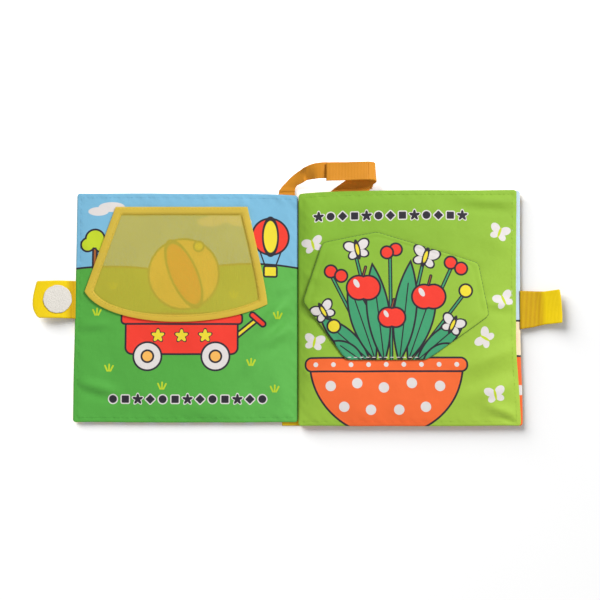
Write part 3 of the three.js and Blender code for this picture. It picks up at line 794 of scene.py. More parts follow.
def shape_row(pen, order, start, pitch, y, star_radius):
    """A row of plain shapes for the eye to follow."""
    shapes = {
        "disc": lambda x: pen.disc(x, y, 2.7),
        "square": lambda x: pen.box(x, y, 2.5, 2.5, radius=0.6),
        "star": lambda x: pen.star(x, y, star_radius, 0.9),
        "diamond": lambda x: pen.box(x, y, 2.3, 2.3, 45, radius=0.5),
    }
    for step in range(13):
        pen.haloed(shapes[order[step % len(order)]](start + pitch * step))


def left_page_print():
    """Hills under a sky, with a balloon, a tree and a toy wagon whose ball shows through the flap."""
    pen = Painter("left_page_print")
    pen.colour = SKY
    clouds = ((-50, 61, 12, 4), (-60, 58, 9, 3.4), (-40, 58, 8, 3.2), (-128, 68, 9, 3.4), (-137, 65, 7, 3))
    for cloud in clouds:
        pen.paint(pen.oval(*cloud), WHITE)
    # Painted light: the grass lightens towards the spine, where the page slopes down to it
    ground = pen.ramp((-70, 0), (-12, 0), GRASS, GRASS_LIT)
    pen.draw(pen.join(pen.disc(-30, -190, 219), pen.disc(-128, -190, 217)), ground)
    # Round tree by the fore edge
    pen.draw(pen.line((-139, 27), (-139, 40), 1.3), TRUNK)
    crown = [pen.disc(*ball) for ball in ((-139, 46, 6.5), (-144, 42, 4.6), (-134.5, 41.5, 4.6))]
    pen.draw(pen.join(*crown), TUFT)
    # Balloon beside the flap
    for side in (-1, 1):
        pen.paint(pen.line((-19 + 8 * side, 40), (-19 + 3 * side, 26), 0.5), INK)
    pen.draw(pen.disc(-19, 48, 12.5), RED)
    pen.draw(pen.oval(-19, 48, 5.2, 12.5), YELLOW)
    pen.draw(pen.box(-19, 24, 4.4, 3.6, radius=1.2), YELLOW)
    # Ball, seen through the flap
    pen.draw(pen.disc(-78, 22, 24), BALL)
    pen.draw(pen.oval(-78, 22, 9, 24, 24), RED)
    pen.draw(pen.disc(-68, 41, 3.4), YELLOW)
    # Wagon
    pen.draw(pen.line((-44, -22), (-28, -9), 1.5), YELLOW)
    pen.draw(pen.line((-31, -6), (-24, -12), 1.9), RED)
    pen.draw(pen.box(-79, -19, 38, 13.5, radius=4.5), RED)
    pen.draw(pen.box(-79, -8.5, 41, 3.6, radius=2.4), RED)
    for x in (-95, -79, -63):
        pen.draw(pen.star(x, -20, 3.8, 1.0), YELLOW, outline=0.8)
    for x in (-102, -56):
        pen.draw(pen.disc(x, -34, 9.5), WHITE)
        pen.draw(pen.disc(x, -34, 4), BALL)
    # Tufts of grass
    tufts = ((-137, -6), (-128, -44), (-92, -56), (-32, -40), (-14, -8), (-16, -58), (-44, 6), (-126, 12))
    for x, y in tufts:
        for lean in (-2.6, 0.2, 2.8):
            pen.paint(pen.line((x + 0.4 * lean, y), (x + lean, y + 4.4 - 0.35 * abs(lean)), 0.55), TUFT)
    shape_row(pen, ("disc", "square", "star", "diamond"), -125, 8.4, -63, 2.7)
    return printed(pen)


def butterfly(pen, x, y, size, turn, outline=None):
    """A white butterfly with a yellow body."""

    def at(out, up):
        cosine, sine = math.cos(math.radians(turn)), math.sin(math.radians(turn))
        return x + size * (out * cosine - up * sine), y + size * (out * sine + up * cosine)

    wings = pen.join(*(
        pen.oval(*at(side * out, up), size * wide, size * high, turn + side * lean)
        for out, up, wide, high, lean in ((0.48, 0.3, 0.52, 0.38, 32), (0.38, -0.34, 0.4, 0.3, -28))
        for side in (-1, 1)
    ))
    if outline:
        pen.draw(wings, WHITE, outline)
        pen.draw(pen.oval(*at(0, 0), size * 0.17, size * 0.6, turn), YELLOW, outline)
    else:
        pen.paint(wings, WHITE)
        pen.paint(pen.oval(*at(0, 0), size * 0.12, size * 0.5, turn), TUFT)


def right_page_print():
    """A lime ground with butterflies round a spotted bowl."""
    pen = Painter("right_page_print")
    pen.colour = pen.ramp((40, 60), (150, -70), LIME, LIME_LOW)
    places = ((138, 50, -20), (10, 43, 15), (141, 4, 24), (11, -24, -12), (133, -60, 10), (128, -22, 60))
    for x, y, turn in places:
        butterfly(pen, x, y, 7.4, turn)
    # A sun that shows when the flap is lifted
    pen.draw(pen.star(62, 8, 22, 2.6, 12), YELLOW)
    pen.draw(pen.disc(62, 8, 14), BALL)
    # Bowl
    bowl = pen.cut(pen.oval(60, -38, 52, 50), pen.box(60, -64, 60, 26))
    pen.draw(bowl, ORANGE)
    dots = (
        (22, -54), (40, -52), (58, -55), (77, -52), (96, -54),
        (31, -68), (49, -70), (68, -70), (86, -68),
    )
    for x, y in dots:
        pen.paint(pen.disc(x, y, 3.5), WHITE)
    pen.draw(pen.box(60, -39.5, 55, 4.6, radius=4.2), ORANGE)
    for x in range(12, 112, 12):
        pen.paint(pen.disc(x, -39.5, 1.6), WHITE)
    shape_row(pen, ("star", "disc", "diamond", "square"), 14, 8.2, 62, 2.8)
    return printed(pen)


def flap_print():
    """A leafy bush with apples, cherries and butterflies over the bowl."""
    pen = Painter("picture_flap_print")
    pen.colour = pen.ramp((40, 60), (150, -70), LIME, LIME_LOW)
    stem = (63, -40)
    for tip in ((23, 19), (39.5, 31), (84, 28), (103, 25), (62, 34), (112, 8), (18, -6)):
        pen.draw(pen.line((stem[0] + 0.25 * (tip[0] - stem[0]), stem[1]), tip, 0.9), LEAF_GREEN, 0.9)
    leaves = (
        ((48, -37), (15, -8), 6.5), ((80, -37), (112, -10), 6.5), ((52, -37), (34, 16), 7),
        ((74, -37), (92, 14), 7), ((58, -38), (50, 28), 7.5), ((68, -38), (76, 30), 7.5),
        ((44, -38), (24, -24), 5), ((84, -38), (104, -26), 5),
    )
    for start, end, half_width in leaves:
        pen.draw(pen.blade(start, end, half_width), LEAF_GREEN)
        inner = [start[axis] + 0.78 * (end[axis] - start[axis]) for axis in (0, 1)]
        pen.paint(pen.line(start, inner, 0.42), INK)
    # Apples
    for x, y, radius in ((44, 12, 10.5), (88, 6, 10.5), (63, -8, 8.5)):
        pen.draw(pen.line((x, y + radius - 2), (x + 1.5, y + radius + 3.5), 0.7), TWIG, 0.8)
        halves = [pen.disc(x + side * 0.3 * radius, y, 0.78 * radius) for side in (-1, 1)]
        pen.draw(pen.join(*halves), RED)
        pen.paint(pen.oval(x - 0.45 * radius, y + 0.28 * radius, 0.16 * radius, 0.3 * radius, 30), WHITE)
    # Cherries
    for x, y in ((22, 23), (29, 20), (103, 29), (110, 25), (66, 38), (60, 36)):
        pen.draw(pen.disc(x, y, 4.2), RED)
    for place in ((40, 38, 9, 12), (86, 33, 9.5, -18), (17, -4, 8.5, 30), (104, -13, 8.5, -24)):
        butterfly(pen, *place, outline=0.95)
    pen.draw(pen.disc(24, -14, 4.4), YELLOW)
    pen.draw(pen.disc(113, 10, 4.4), YELLOW)
    return printed(pen)


def back_page_print():
    """Three bands: sky, sand and orange, whose ends show beside the middle leaf."""
    pen = Painter("back_page_print")
    pen.colour = PALE_SKY
    clouds = ((40, 52, 14, 5), (52, 49, 11, 4.6), (30, 48, 9, 4), (108, 30, 13, 5), (98, 27, 9, 4))
    for cloud in clouds:
        pen.paint(pen.oval(*cloud), WHITE)
    pen.draw(pen.disc(76, 0, 18), YELLOW)
    pen.draw(pen.box(76, -60, 90, 50), CREAM)
    for step in range(13):
        pen.paint(pen.disc(12 + 11.2 * step, -22 + 3 * (step % 2), 1.7), RED if step % 2 else LEAF_GREEN)
    pen.draw(pen.box(76, -84, 90, 50), ORANGE)
    for row in range(3):
        for step in range(7):
            pen.paint(pen.disc(14 + 21 * step + 10.5 * (row % 2), -45 - 12 * row, 3.4), WHITE)
    return printed(pen)


def organza(name, colour, alpha):
    """Sheer fabric: fine crossing threads with gaps that let the print through."""
    painter = Painter(name)
    painter.colour = colour
    threads = painter.threads(0.7)
    grain = painter.noise(1.6, 2, stretch=(1, 0.15))
    opening = painter.number("MULTIPLY_ADD", grain, 0.012, alpha - 0.006)
    painter.feed(painter.shader.inputs["Alpha"], painter.number("MULTIPLY_ADD", threads, 0.02, opening))
    normal = painter.bump(threads, 0.06)
    return painter.finish(0.5, normal, sheen=0.1, specular=0.2, fade=0.06, fade_pitch=40)


def ribbon_cloth(name, colour, pitch, shade, root=None):
    """Woven ribbon with fine cross ribs. The root gives the colour of the shade painted on a folded
    ribbon's two ends by its seam, how far that painted shade reaches, and the ribbon's length."""
    painter = Painter(name)
    ribs = painter.ribs(pitch)
    ground = colour
    if root:
        root_shade, reach, length = root
        # Painted shade by both sewn ends of the ribbon
        ground = painter.mix(painter.ends(reach, length), colour, root_shade)
    painter.colour = painter.mix(ribs, darker(colour, shade), ground)
    fine = painter.bump(painter.threads(0.45), 0.04)
    return painter.finish(0.5, painter.bump(ribs, 0.06, fine), specular=0.2, fade_pitch=14)


def felted(name, colour, pitch, depth):
    """The fuzzy face of a hook or loop patch."""
    painter = Painter(name)
    fuzz = painter.noise(pitch, 3)
    painter.colour = painter.mix(fuzz, darker(colour, 0.8), colour)
    return painter.finish(0.95, painter.bump(fuzz, depth), sheen=0.5, specular=0.15, fade=0.04)


def thread_material(name, colour):
    """Sewing thread, and the dark thread of painted shade round the picture flap."""
    painter = Painter(name)
    painter.colour = colour
    return painter.finish(0.5, painter.bump(painter.noise(0.6, 1), 0.05), sheen=0.2, fade=0.05)


def film_material():
    """The crackling film."""
    painter = Painter("crinkle_film")
    painter.colour = FILM
    creases = painter.noise(9, 4, "RIDGED_MULTIFRACTAL")
    return painter.finish(0.25, painter.bump(creases, 0.5), specular=0.6, fade=0.03)


def wadding_material():
    """Loose fibres."""
    painter = Painter("wadding")
    painter.colour = WADDING
    fibres = painter.bump(painter.noise(1.5, 4), 0.5)
    return painter.finish(0.95, fibres, sheen=0.5, specular=0.1, fade=0.06)


MATERIALS = {
    "left_page": left_page_print(),
    "right_page": right_page_print(),
    "flap": flap_print(),
    "back_page": back_page_print(),
    "middle_back": plain_cloth("orange_print", ORANGE, WHITE),
    "flap_back": plain_cloth("flap_back_cloth", ORANGE),
    "cover": plain_cloth("cover_cloth", COVER, WHITE, dot_pitch=22, dot_radius=3.4),
    "film": film_material(),
    "wadding": wadding_material(),
    "sheer": organza("organza", ORGANZA, alpha=0.4),
    "hem": organza("organza_hem", HEM, alpha=0.66),
    "spine": plain_cloth("spine_cloth", COVER),
    # Painted shade by the tabs' sewn ends: a narrow strip on the front tab, a wide one on the back tab
    "front_tab": ribbon_cloth("front_tab_ribbon", TAB, pitch=0.9, shade=0.92, root=(FRONT_TAB_SHADE, 5, 56)),
    "back_tab": ribbon_cloth("back_tab_ribbon", TAB, pitch=0.9, shade=0.92, root=(BACK_TAB_SHADE, 15, 56)),
    "strap": ribbon_cloth("strap_ribbon", STRAP, pitch=1.0, shade=0.9),
    "hook": felted("hook_disc", FELT, pitch=0.9, depth=0.35),
    "loop": felted("loop_disc", FELT, pitch=1.2, depth=0.5),
    "white_thread": thread_material("white_thread", WHITE),
    # The dark thread round the picture flap is painted shade: it stands for the shadow line under the
    # flap's edge
    "seam": thread_material("shadow_line_thread", SHADOW_LINE_GREEN),
    "yellow_thread": thread_material("yellow_thread", THREAD_YELLOW),
}


# Leaves
def panel(name, node, leaf, material, slot, body, under, top, upper, pitch):
    """One cloth of a leaf, curling at its rim to the seam where it meets the other."""
    across, up = leaf.grid(pitch)
    x, y = leaf.place(across, up)
    edge = np.minimum.reduce([across, leaf.width - across, up, leaf.height - up])
    seam = under(x, y) + SEAM_RISE + (SEAM_GAP if upper else -SEAM_GAP)
    surface = top(x, y) if upper else under(x, y)
    z = seam + (surface - seam) * rounded_edge(edge, ROLL)
    rows, columns = across.shape
    points = as_points(x, y, z)
    flat = np.stack([leaf.side * (leaf.near + across.ravel()), leaf.low + up.ravel()], 1)
    faces = grid_faces(columns, rows, upper == (leaf.side > 0))
    piece = thicken(add_mesh(name, points, faces, flat, [material]), CLOTH)
    ride_and_slot(piece, body if body == "back_cover" else None, slot, node)
    if body != "back_cover":
        bend(piece, leaf, body)
    return piece


def bend(piece, leaf, body):
    """Bakes a piece's placement into its mesh. The cloth is not bent over the spine."""
    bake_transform(piece)


def filling(name, node, body, lower, upper, material, slot, waves):
    """The film or the wadding of a leaf, in the room that its CAD solid holds."""
    low, high = node_box(node)
    side = FILLING_POINTS
    x, y = np.meshgrid(np.linspace(low[0], high[0], side), np.linspace(low[1], high[1], side))
    edge = np.minimum.reduce([x - low[0], high[0] - x, y - low[1], high[1] - y])
    bottom, top = lower(x, y), upper(x, y)
    middle = (bottom + top) / 2
    thinned = 0.25 + 0.75 * smoothstep(edge, 0, waves)
    sheets = [as_points(x, y, middle + (level - middle) * thinned) for level in (bottom, top)]
    count = side * side
    faces = grid_faces(side, side, False)
    faces += [[corner + count for corner in face] for face in grid_faces(side, side)]
    rim = list(range(side))
    rim += [row * side + side - 1 for row in range(1, side)]
    rim += [(side - 1) * side + column for column in range(side - 2, -1, -1)]
    rim += [row * side for row in range(side - 2, 0, -1)]
    for a, b in zip(rim, rim[1:] + rim[:1]):
        faces.append([a, b, b + count, a + count])
    points = np.concatenate(sheets)
    piece = add_mesh(name, points, faces, points[:, :2], [material])
    ride_and_slot(piece, body, slot, node)
    return piece, (high[0] - low[0]) * MM, (high[1] - low[1]) * MM


def add_leaf(leaf, body, title, under, top, plain, lower_cloth, upper_cloth):
    """A leaf's two panels, each given by its node, material and slot, with the film and the wadding."""
    for cloth, upper, pitch in ((lower_cloth, False, 4), (upper_cloth, True, 2.0)):
        node, material, slot = cloth
        panel(f"{node}_cloth", node, leaf, MATERIALS[material], slot, body, under, top, upper, pitch)

    def film_under(x, y):
        return under(x, y) + FILM_LIFT + FILM_WAVE * ripple(x, y, 17, 3)

    film, width, height = filling(
        f"{title}_film_sheet", f"{title}_film", body,
        film_under, lambda x, y: film_under(x, y) + FILM_THICKNESS,
        MATERIALS["film"], "crinkle_film", FILM_ROLL,
    )
    pad, _, _ = filling(
        f"{title}_wadding_pad", f"{title}_wadding", body,
        lambda x, y: under(x, y) + WADDING_LIFT, lambda x, y: plain(x, y) - WADDING_DROP,
        MATERIALS["wadding"], "wadding", WADDING_ROLL,
    )


add_leaf(
    front_leaf, "front_cover", "front_cover", front_under, front_top, front_plain,
    ("front_cover_outer", "cover", "cover_cloth"), ("front_cover_inner", "left_page", "left_page_print"),
)
add_leaf(
    back_leaf, "back_cover", "back_cover", back_under, back_plain, back_plain,
    ("back_cover_outer", "cover", "cover_cloth"), ("back_cover_inner", "back_page", "orange_print"),
)
add_leaf(
    middle_leaf, "middle_leaf", "middle_leaf", middle_under, middle_top, middle_plain,
    ("middle_leaf_back", "middle_back", "orange_print"),
    ("middle_leaf_front", "right_page", "right_page_print"),
)


# Spine cloth
SPINE_PEEP = 1.6  # how far it peeps out below the pages
SPINE_CLOTH = 0.3


def add_spine():
    """The cloth over the spine, which peeps out at the foot of the gutter."""
    columns, rows = 23, 90
    across = np.linspace(SPINE_LOW[0], SPINE_HIGH[0], columns)
    x, y = np.meshgrid(across, np.linspace(SPINE_LOW[1] - SPINE_PEEP, SPINE_HIGH[1], rows))
    points = as_points(x, y, SPINE_HIGH[2] - 0.12 + 0.08 * ripple(x, y, 24, 6))
    faces = grid_faces(columns, rows)
    piece = add_mesh("spine_cloth", points, faces, points[:, :2], [MATERIALS["spine"]])
    thicken(piece, SPINE_CLOTH)
    ride_and_slot(piece, None, "cover_cloth", "spine_binding")
    bend(piece, front_leaf, "front_cover")


add_spine()


# Stitches
def stitches(name, path, height, material, length=2.1, gap=0.9, radius=0.24):
    """A row of sewn stitches along a path, each a short rounded thread lying in the cloth."""
    path = np.asarray(path, float)
    at = reach_along(path)
    points, faces = [], []
    sides = 6
    rings = ((0.0, 0.35), (0.15, 0.85), (0.5, 1.0), (0.85, 0.85), (1.0, 0.35))

    def place(reach):
        return np.array([np.interp(reach, at, path[:, axis]) for axis in (0, 1)])

    for start in np.arange(0, at[-1] - length, length + gap):
        first = len(points)
        for share, swell in rings:
            reach = start + share * length
            x, y = place(reach)
            ahead = place(reach + 0.3) - place(reach - 0.3)
            across = np.array([-ahead[1], ahead[0]]) / (np.hypot(*ahead) or 1)
            lift = height(np.array(x), np.array(y)) + 0.1 * math.sin(math.pi * share)
            for side in range(sides):
                angle = 2 * math.pi * side / sides
                out = swell * radius * math.cos(angle)
                up = swell * radius * math.sin(angle)
                points.append((x + across[0] * out, y + across[1] * out, float(lift) + up))
        faces += [[b, a, d, c] for a, b, c, d in tube_faces(len(rings), sides, first)]
        faces.append([first + side for side in range(sides)])
        last = first + (len(rings) - 1) * sides
        faces.append([last + side for side in reversed(range(sides))])
    points = np.array(points)
    return add_mesh(name, points, faces, points[:, :2], [material])


def page_path(leaf):
    """The topstitched line: along the bottom, up the fore edge and back along the top."""
    a = leaf.width - STITCH_INSET
    b = leaf.height - STITCH_INSET
    corners = [(STITCH_INSET, STITCH_INSET), (a, STITCH_INSET), (a, b), (STITCH_INSET, b)]
    path = []
    for start, end in zip(corners, corners[1:]):
        for share in np.linspace(0, 1, 60):
            path.append((start[0] + share * (end[0] - start[0]), start[1] + share * (end[1] - start[1])))
    across, up = np.array(path).T
    return np.stack(leaf.place(across, up), 1)


def add_page_stitches():
    """The topstitching of both open pages, in the colours of their prints."""
    for name, leaf, top, material, body, slot in (
        ("left_page_stitching", front_leaf, front_top, "left_page", "front_cover", "left_page_print"),
        ("right_page_stitching", middle_leaf, middle_top, "right_page", "middle_leaf", "right_page_print"),
    ):
        piece = stitches(
            name, page_path(leaf), lambda x, y: top(x, y) - 0.02, MATERIALS[material], radius=0.16
        )
        ride_and_slot(piece, None, slot)
        bend(piece, leaf, body)


add_page_stitches()


# Flaps
def rings_mesh(name, outline, shares, height, material):
    """A sheet over an outline, in rings of points that shrink to the outline's middle."""
    outline = np.asarray(outline, float)
    middle = outline.mean(axis=0)
    count = len(outline)
    flat = np.concatenate([middle + share * (outline - middle) for share in shares] + [middle[None]])
    z = height(flat[:, 0], flat[:, 1], np.concatenate([np.repeat(shares, count), [0.0]]))
    faces = tube_faces(len(shares), count)
    last = (len(shares) - 1) * count
    for step in range(count):
        faces.append([last + step, last + (step + 1) % count, len(flat) - 1])
    points = np.column_stack([flat, z])
    return add_mesh(name, points, faces, flat, [material])


def flip(piece):
    """Turns a mesh's normals round."""
    piece.data.flip_normals()
    return piece


def along_lines(corners, pitch, round_off):
    """Points a pitch apart round a closed chain of corners, each cut a little round."""
    corners = [np.array(corner, float) for corner in corners]
    path = []
    for before, corner, after in zip(corners[-1:] + corners[:-1], corners, corners[1:] + corners[:1]):
        into = corner + (before - corner) / np.linalg.norm(before - corner) * round_off
        out = corner + (after - corner) / np.linalg.norm(after - corner) * round_off
        path += [
            (1 - t) ** 2 * into + 2 * t * (1 - t) * corner + t * t * out for t in (0, 0.25, 0.5, 0.75, 1)
        ]
    closed = np.array(path + path[:1])
    at = reach_along(closed)
    count = int(round(at[-1] / pitch))
    reach = np.linspace(0, at[-1], count, endpoint=False)
    return np.stack([np.interp(reach, at, closed[:, axis]) for axis in (0, 1)], 1)


# The picture flap's corners, as shares of its half width and its height
PICTURE_CORNERS = (
    (-0.5, 0), (0.37, 0), (0.475, 0.045), (1.06, 0.345),
    (0.95, 0.755), (-0.16, 1), (-0.75, 0.915), (-0.965, 0.455),
)
PICTURE_MIDDLE, PICTURE_HALF = 63.0, 62.0
PICTURE_LOW, PICTURE_HEIGHT = -36.5, 86.5
# Its rings of points, as shares of its outline, close together at the rim and at the stitching
PICTURE_RINGS = (
    1, 0.995, 0.985, 0.97, 0.95, 0.93, 0.91, 0.89,
    0.86, 0.82, 0.75, 0.66, 0.55, 0.43, 0.3, 0.16,
)


def picture_under(x, y):
    """The underside of the picture flap: just off the page, and lifting a little towards its free top."""
    page = middle_plain(x, y)
    free = smoothstep(y, PICTURE_LOW + 6, PICTURE_LOW + PICTURE_HEIGHT)
    lift = 0.05 + 0.2 * free + 0.15 * free * (1 + np.sin(x / 13.0))
    return np.maximum((MIDDLE_CROWN + page) / 2, middle_top(x, y)) + FLAP_GAP + lift


def add_picture_flap():
    """Two cloths with a film between them, sewn to the page along the lower edge."""
    corners = [
        (PICTURE_MIDDLE + PICTURE_HALF * across, PICTURE_LOW + PICTURE_HEIGHT * up)
        for across, up in PICTURE_CORNERS
    ]
    outline = along_lines(corners, 2.4, 2.0)
    reach = 45.0  # about how far the flap's middle lies from its edge

    def rolled(share):
        edge = (1 - share) * reach
        return rounded_edge(edge, ROLL), edge

    def front(x, y, share):
        roll, edge = rolled(share)
        seam = picture_under(x, y) + FLAP_SEAM
        puff = FLAP_RIM + FLAP_PUFF * (1 - np.exp(-edge / 6))
        waves = 0.18 * ripple(x, y, 33, 5) + 0.08 * ripple(x, y, 14, 7)
        groove = 0.25 * np.exp(-(((edge - STITCH_INSET) / 0.9) ** 2))
        return seam + SEAM_GAP + (puff + waves - groove) * roll

    def back(x, y, share):
        roll, _ = rolled(share)
        return picture_under(x, y) + (FLAP_SEAM - SEAM_GAP) * (1 - roll)

    pieces = []
    for name, node, height, material, slot in (
        ("picture_flap_front_cloth", "picture_flap_front", front, "flap", "right_page_print"),
        ("picture_flap_back_cloth", "picture_flap_back", back, "flap_back", "orange_print"),
    ):
        piece = rings_mesh(name, outline, PICTURE_RINGS, height, MATERIALS[material])
        if node == "picture_flap_back":
            flip(piece)
        thicken(piece, FLAP_CLOTH)
        ride_and_slot(piece, None, slot, node)
        pieces.append(piece)

    def in_flap(x, y, share):
        return picture_under(x, y) + FLAP_FILM_LIFT + 0.05 * ripple(x, y, 9, 2)

    middle = outline.mean(axis=0)
    inside = middle + FLAP_FILM_SHARE * (outline - middle)
    film = rings_mesh("picture_flap_film_sheet", inside, PICTURE_RINGS[::3], in_flap, MATERIALS["film"])
    thicken(film, FLAP_FILM)
    ride_and_slot(film, None, "crinkle_film", "picture_flap_film")
    pieces.append(film)
    base = [corner for corner in corners if corner[1] < PICTURE_LOW + 1]
    left, right = min(base), max(base)
    width = right[0] - left[0]
    path = [(left[0] + share * width, PICTURE_LOW + 1.6) for share in np.linspace(0.02, 0.98, 40)]

    def on_front(x, y):
        return front(x, y, np.array(0.965))

    def on_seam(x, y):
        return picture_under(x, y) + FLAP_SEAM - 0.05

    free = np.concatenate([outline, outline[:1]])
    white, dark = MATERIALS["white_thread"], MATERIALS["seam"]
    row = stitches("picture_flap_stitching", path, on_front, white, length=2.6, gap=1.5, radius=0.3)
    # A dark green thread all round the flap's rim, at the height of its seam: painted shade for the shadow
    # under the edge
    rim = stitches("picture_flap_shadow_line", free, on_seam, dark, length=2.4, gap=0.02, radius=0.3)
    for piece in (row, rim):
        ride_and_slot(piece, None, "right_page_print")
    for piece in [*pieces, row, rim]:
        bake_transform(piece)


add_picture_flap()


# What draws the sheer flap's lower edge down: where along the line of its corners, and how far below it
SHEER_PULLS = ((0.11, 23.3), (0.70, 21.3))
SHEER_BOW = 0.9  # how far its side by the spine swells out
SHEER_TOP_LEFT = -124.7
SHEER_TOP_RIGHT = -34.7
SHEER_LEFT_DROP = 58  # from its top edge down to its lower corners
SHEER_RIGHT_DROP = 66.8
SHEER_TOP_POINTS = 44  # points along its top edge
SHEER_RINGS = (1, 0.95, 0.88, 0.8, 0.7, 0.6, 0.5, 0.4, 0.3, 0.2, 0.1)


def sheer_outline(inwards=0.0):
    """The sheer flap's outline, or one inwards of it: straight top, flaring sides, round bottom."""
    low, high = node_box("sheer_hem")
    top_left, top_right = np.array([SHEER_TOP_LEFT, high[1]]), np.array([SHEER_TOP_RIGHT, high[1]])
    low_left = np.array([low[0], high[1] - SHEER_LEFT_DROP])
    low_right = np.array([high[0], high[1] - SHEER_RIGHT_DROP])
    pulls = [low_left + share * (low_right - low_left) - (0, depth) for share, depth in SHEER_PULLS]
    corners = [top_right, top_left, low_left, *pulls, low_right]

    def moved(step):
        into = corners[step] - corners[step - 1]
        out = corners[(step + 1) % len(corners)] - corners[step]
        first, second = (np.array([-way[1], way[0]]) / np.linalg.norm(way) for way in (into, out))
        return corners[step] + inwards * (first + second) / (1 + first @ second)

    def line(start, end, count):
        return start + np.outer(np.arange(count) / count, end - start)

    right, left, low_left, first, second, low_right = (moved(step) for step in range(len(corners)))
    t = (np.arange(64) / 64)[:, None]
    inner = 3 * t * (1 - t) * ((1 - t) * first + t * second)
    arc = (1 - t) ** 3 * low_left + inner + t**3 * low_right
    bow = np.outer(np.sin(math.pi * (np.arange(34) / 34) ** 0.7), (SHEER_BOW, 0))
    inner_side = line(low_right, right, 34) + bow
    top = line(right, left, SHEER_TOP_POINTS)
    return np.concatenate([top, line(left, low_left, 32), arc, inner_side])


def sheer_height(x, y):
    """The middle of the sheer cloth over the left page, rising a little towards its free edge."""
    free = smoothstep(y, 66, -6)
    wave = 0.16 * free * (1 + np.sin(x / 10.5 + 0.6)) + 0.12 * free * (1 + ripple(x, y, 30, 8))
    page = np.maximum((FRONT_CROWN + front_plain(x, y)) / 2, front_top(x, y))
    return page + SHEER_GAP + 0.35 + wave


def add_sheer_flap():
    """A panel of organza with a folded hem, sewn to the page along its top edge."""
    outline = sheer_outline()
    inner = sheer_outline(HEM_WIDTH)
    count = len(outline)
    # The hem is a strip folded over the edge of the panel: these are the corners of its section
    section = (
        (0, 0), (0.05, 0.42), (0.35, 0.55), (HEM_WIDTH - 2.2, 0.44), (HEM_WIDTH, 0.18),
        (HEM_WIDTH, -0.3), (HEM_WIDTH - 0.3, -0.32), (0.35, -0.32), (0.05, -0.25),
    )
    rings, flats = [], []
    for inwards, up in section:
        ring = outline + (inner - outline) * (inwards / HEM_WIDTH)
        rings.append(np.column_stack([ring, sheer_height(*ring.T) + up]))
        flats.append(ring)
    total = len(section) * count
    faces = [[corner % total for corner in face] for face in tube_faces(len(section) + 1, count)]
    points, flat = np.concatenate(rings), np.concatenate(flats)
    hem = add_mesh("sheer_hem_cloth", points, faces, flat, [MATERIALS["hem"]])
    panel_outline = sheer_outline(HEM_WIDTH - 1.2)
    sheet = rings_mesh(
        "sheer_panel_cloth", panel_outline, SHEER_RINGS,
        lambda x, y, share: sheer_height(x, y) + 0.1, MATERIALS["sheer"],
    )
    thicken(sheet, SHEER_CLOTH)
    ride_and_slot(hem, None, "organza_hem", "sheer_hem")
    ride_and_slot(sheet, None, "organza", "sheer_panel")
    top = outline[:, 1].max()
    across = np.linspace(SHEER_TOP_LEFT + 2.7, SHEER_TOP_RIGHT - 2.3, 60)
    pieces = [hem, sheet]
    for name, path in (
        ("sheer_top_stitching", [(x, top - 1.5) for x in across]),
        ("sheer_hem_stitching", sheer_outline(HEM_WIDTH - 1.0)[SHEER_TOP_POINTS + 2 :]),
    ):
        row = stitches(
            name, path, lambda x, y: sheer_height(x, y) + 0.42, MATERIALS["yellow_thread"],
            length=1.7, gap=0.8, radius=0.11,
        )
        ride_and_slot(row, None, "organza_hem")
        pieces.append(row)
    for piece in pieces:
        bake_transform(piece)


add_sheer_flap()


# Ribbons
def smooth_stations(stations, pitch):
    """Stations a pitch apart on a smooth curve through the given ones, with evenly turning halves."""
    middles = np.array([middle for middle, _ in stations], float)
    spans = np.array([span for _, span in stations], float)
    ends = np.concatenate([[2 * middles[0] - middles[1]], middles, [2 * middles[-1] - middles[-2]]])
    result = []
    for step in range(len(middles) - 1):
        p0, p1, p2, p3 = ends[step : step + 4]
        count = max(2, int(np.linalg.norm(p2 - p1) / pitch))
        last = step == len(middles) - 2
        for t in np.linspace(0, 1, count + 1)[: None if last else -1]:
            square = (2 * p0 - 5 * p1 + 4 * p2 - p3) * t * t
            cube = (3 * p1 - p0 - 3 * p2 + p3) * t**3
            middle = 0.5 * (2 * p1 + (p2 - p0) * t + square + cube)
            span = spans[step] + (spans[step + 1] - spans[step]) * t
            size = np.linalg.norm(spans[step]) * (1 - t) + np.linalg.norm(spans[step + 1]) * t
            result.append((middle, span / np.linalg.norm(span) * size))
    return result


def ribbon(name, stations, thickness, material, waves=0.0):
    """A flat woven ribbon through its stations, with rounded firmer edges."""
    middles = np.array([middle for middle, _ in stations], float)
    spans = np.array([span for _, span in stations], float)
    before = np.concatenate([middles[:1], middles[:-1]])
    after = np.concatenate([middles[1:], middles[-1:]])
    normals = np.cross(after - before, spans)
    normals /= np.linalg.norm(normals, axis=1)[:, None]
    reach = reach_along(middles)
    across = (-1, -0.985, -0.94, -0.88, -0.6, -0.3, 0, 0.3, 0.6, 0.88, 0.94, 0.985, 1)
    bead = (0, 0.75, 1.12, 0.95, 0.9, 0.9, 0.9, 0.9, 0.9, 0.95, 1.12, 0.75, 0)
    upper = list(zip(across, bead))
    loop = upper + [(a, -b) for a, b in upper[-2:0:-1]]
    points, flat = [], []
    for index, (middle, span, normal) in enumerate(zip(middles, spans, normals)):
        half = np.linalg.norm(span)
        for a, b in loop:
            sag = waves * math.sin(reach[index] / 4.1 + 2.2 * a) * (0.4 + 0.6 * abs(a))
            points.append(middle + a * span + (b * thickness / 2 + sag) * normal)
            flat.append((reach[index], a * half + (0 if b >= 0 else 40)))
    count = len(loop)
    faces = tube_faces(len(middles), count)
    faces.append(list(range(count))[::-1])
    last = (len(middles) - 1) * count
    faces.append([last + side for side in range(count)])
    piece = add_mesh(name, points, faces, flat, [material])
    return flip(piece)


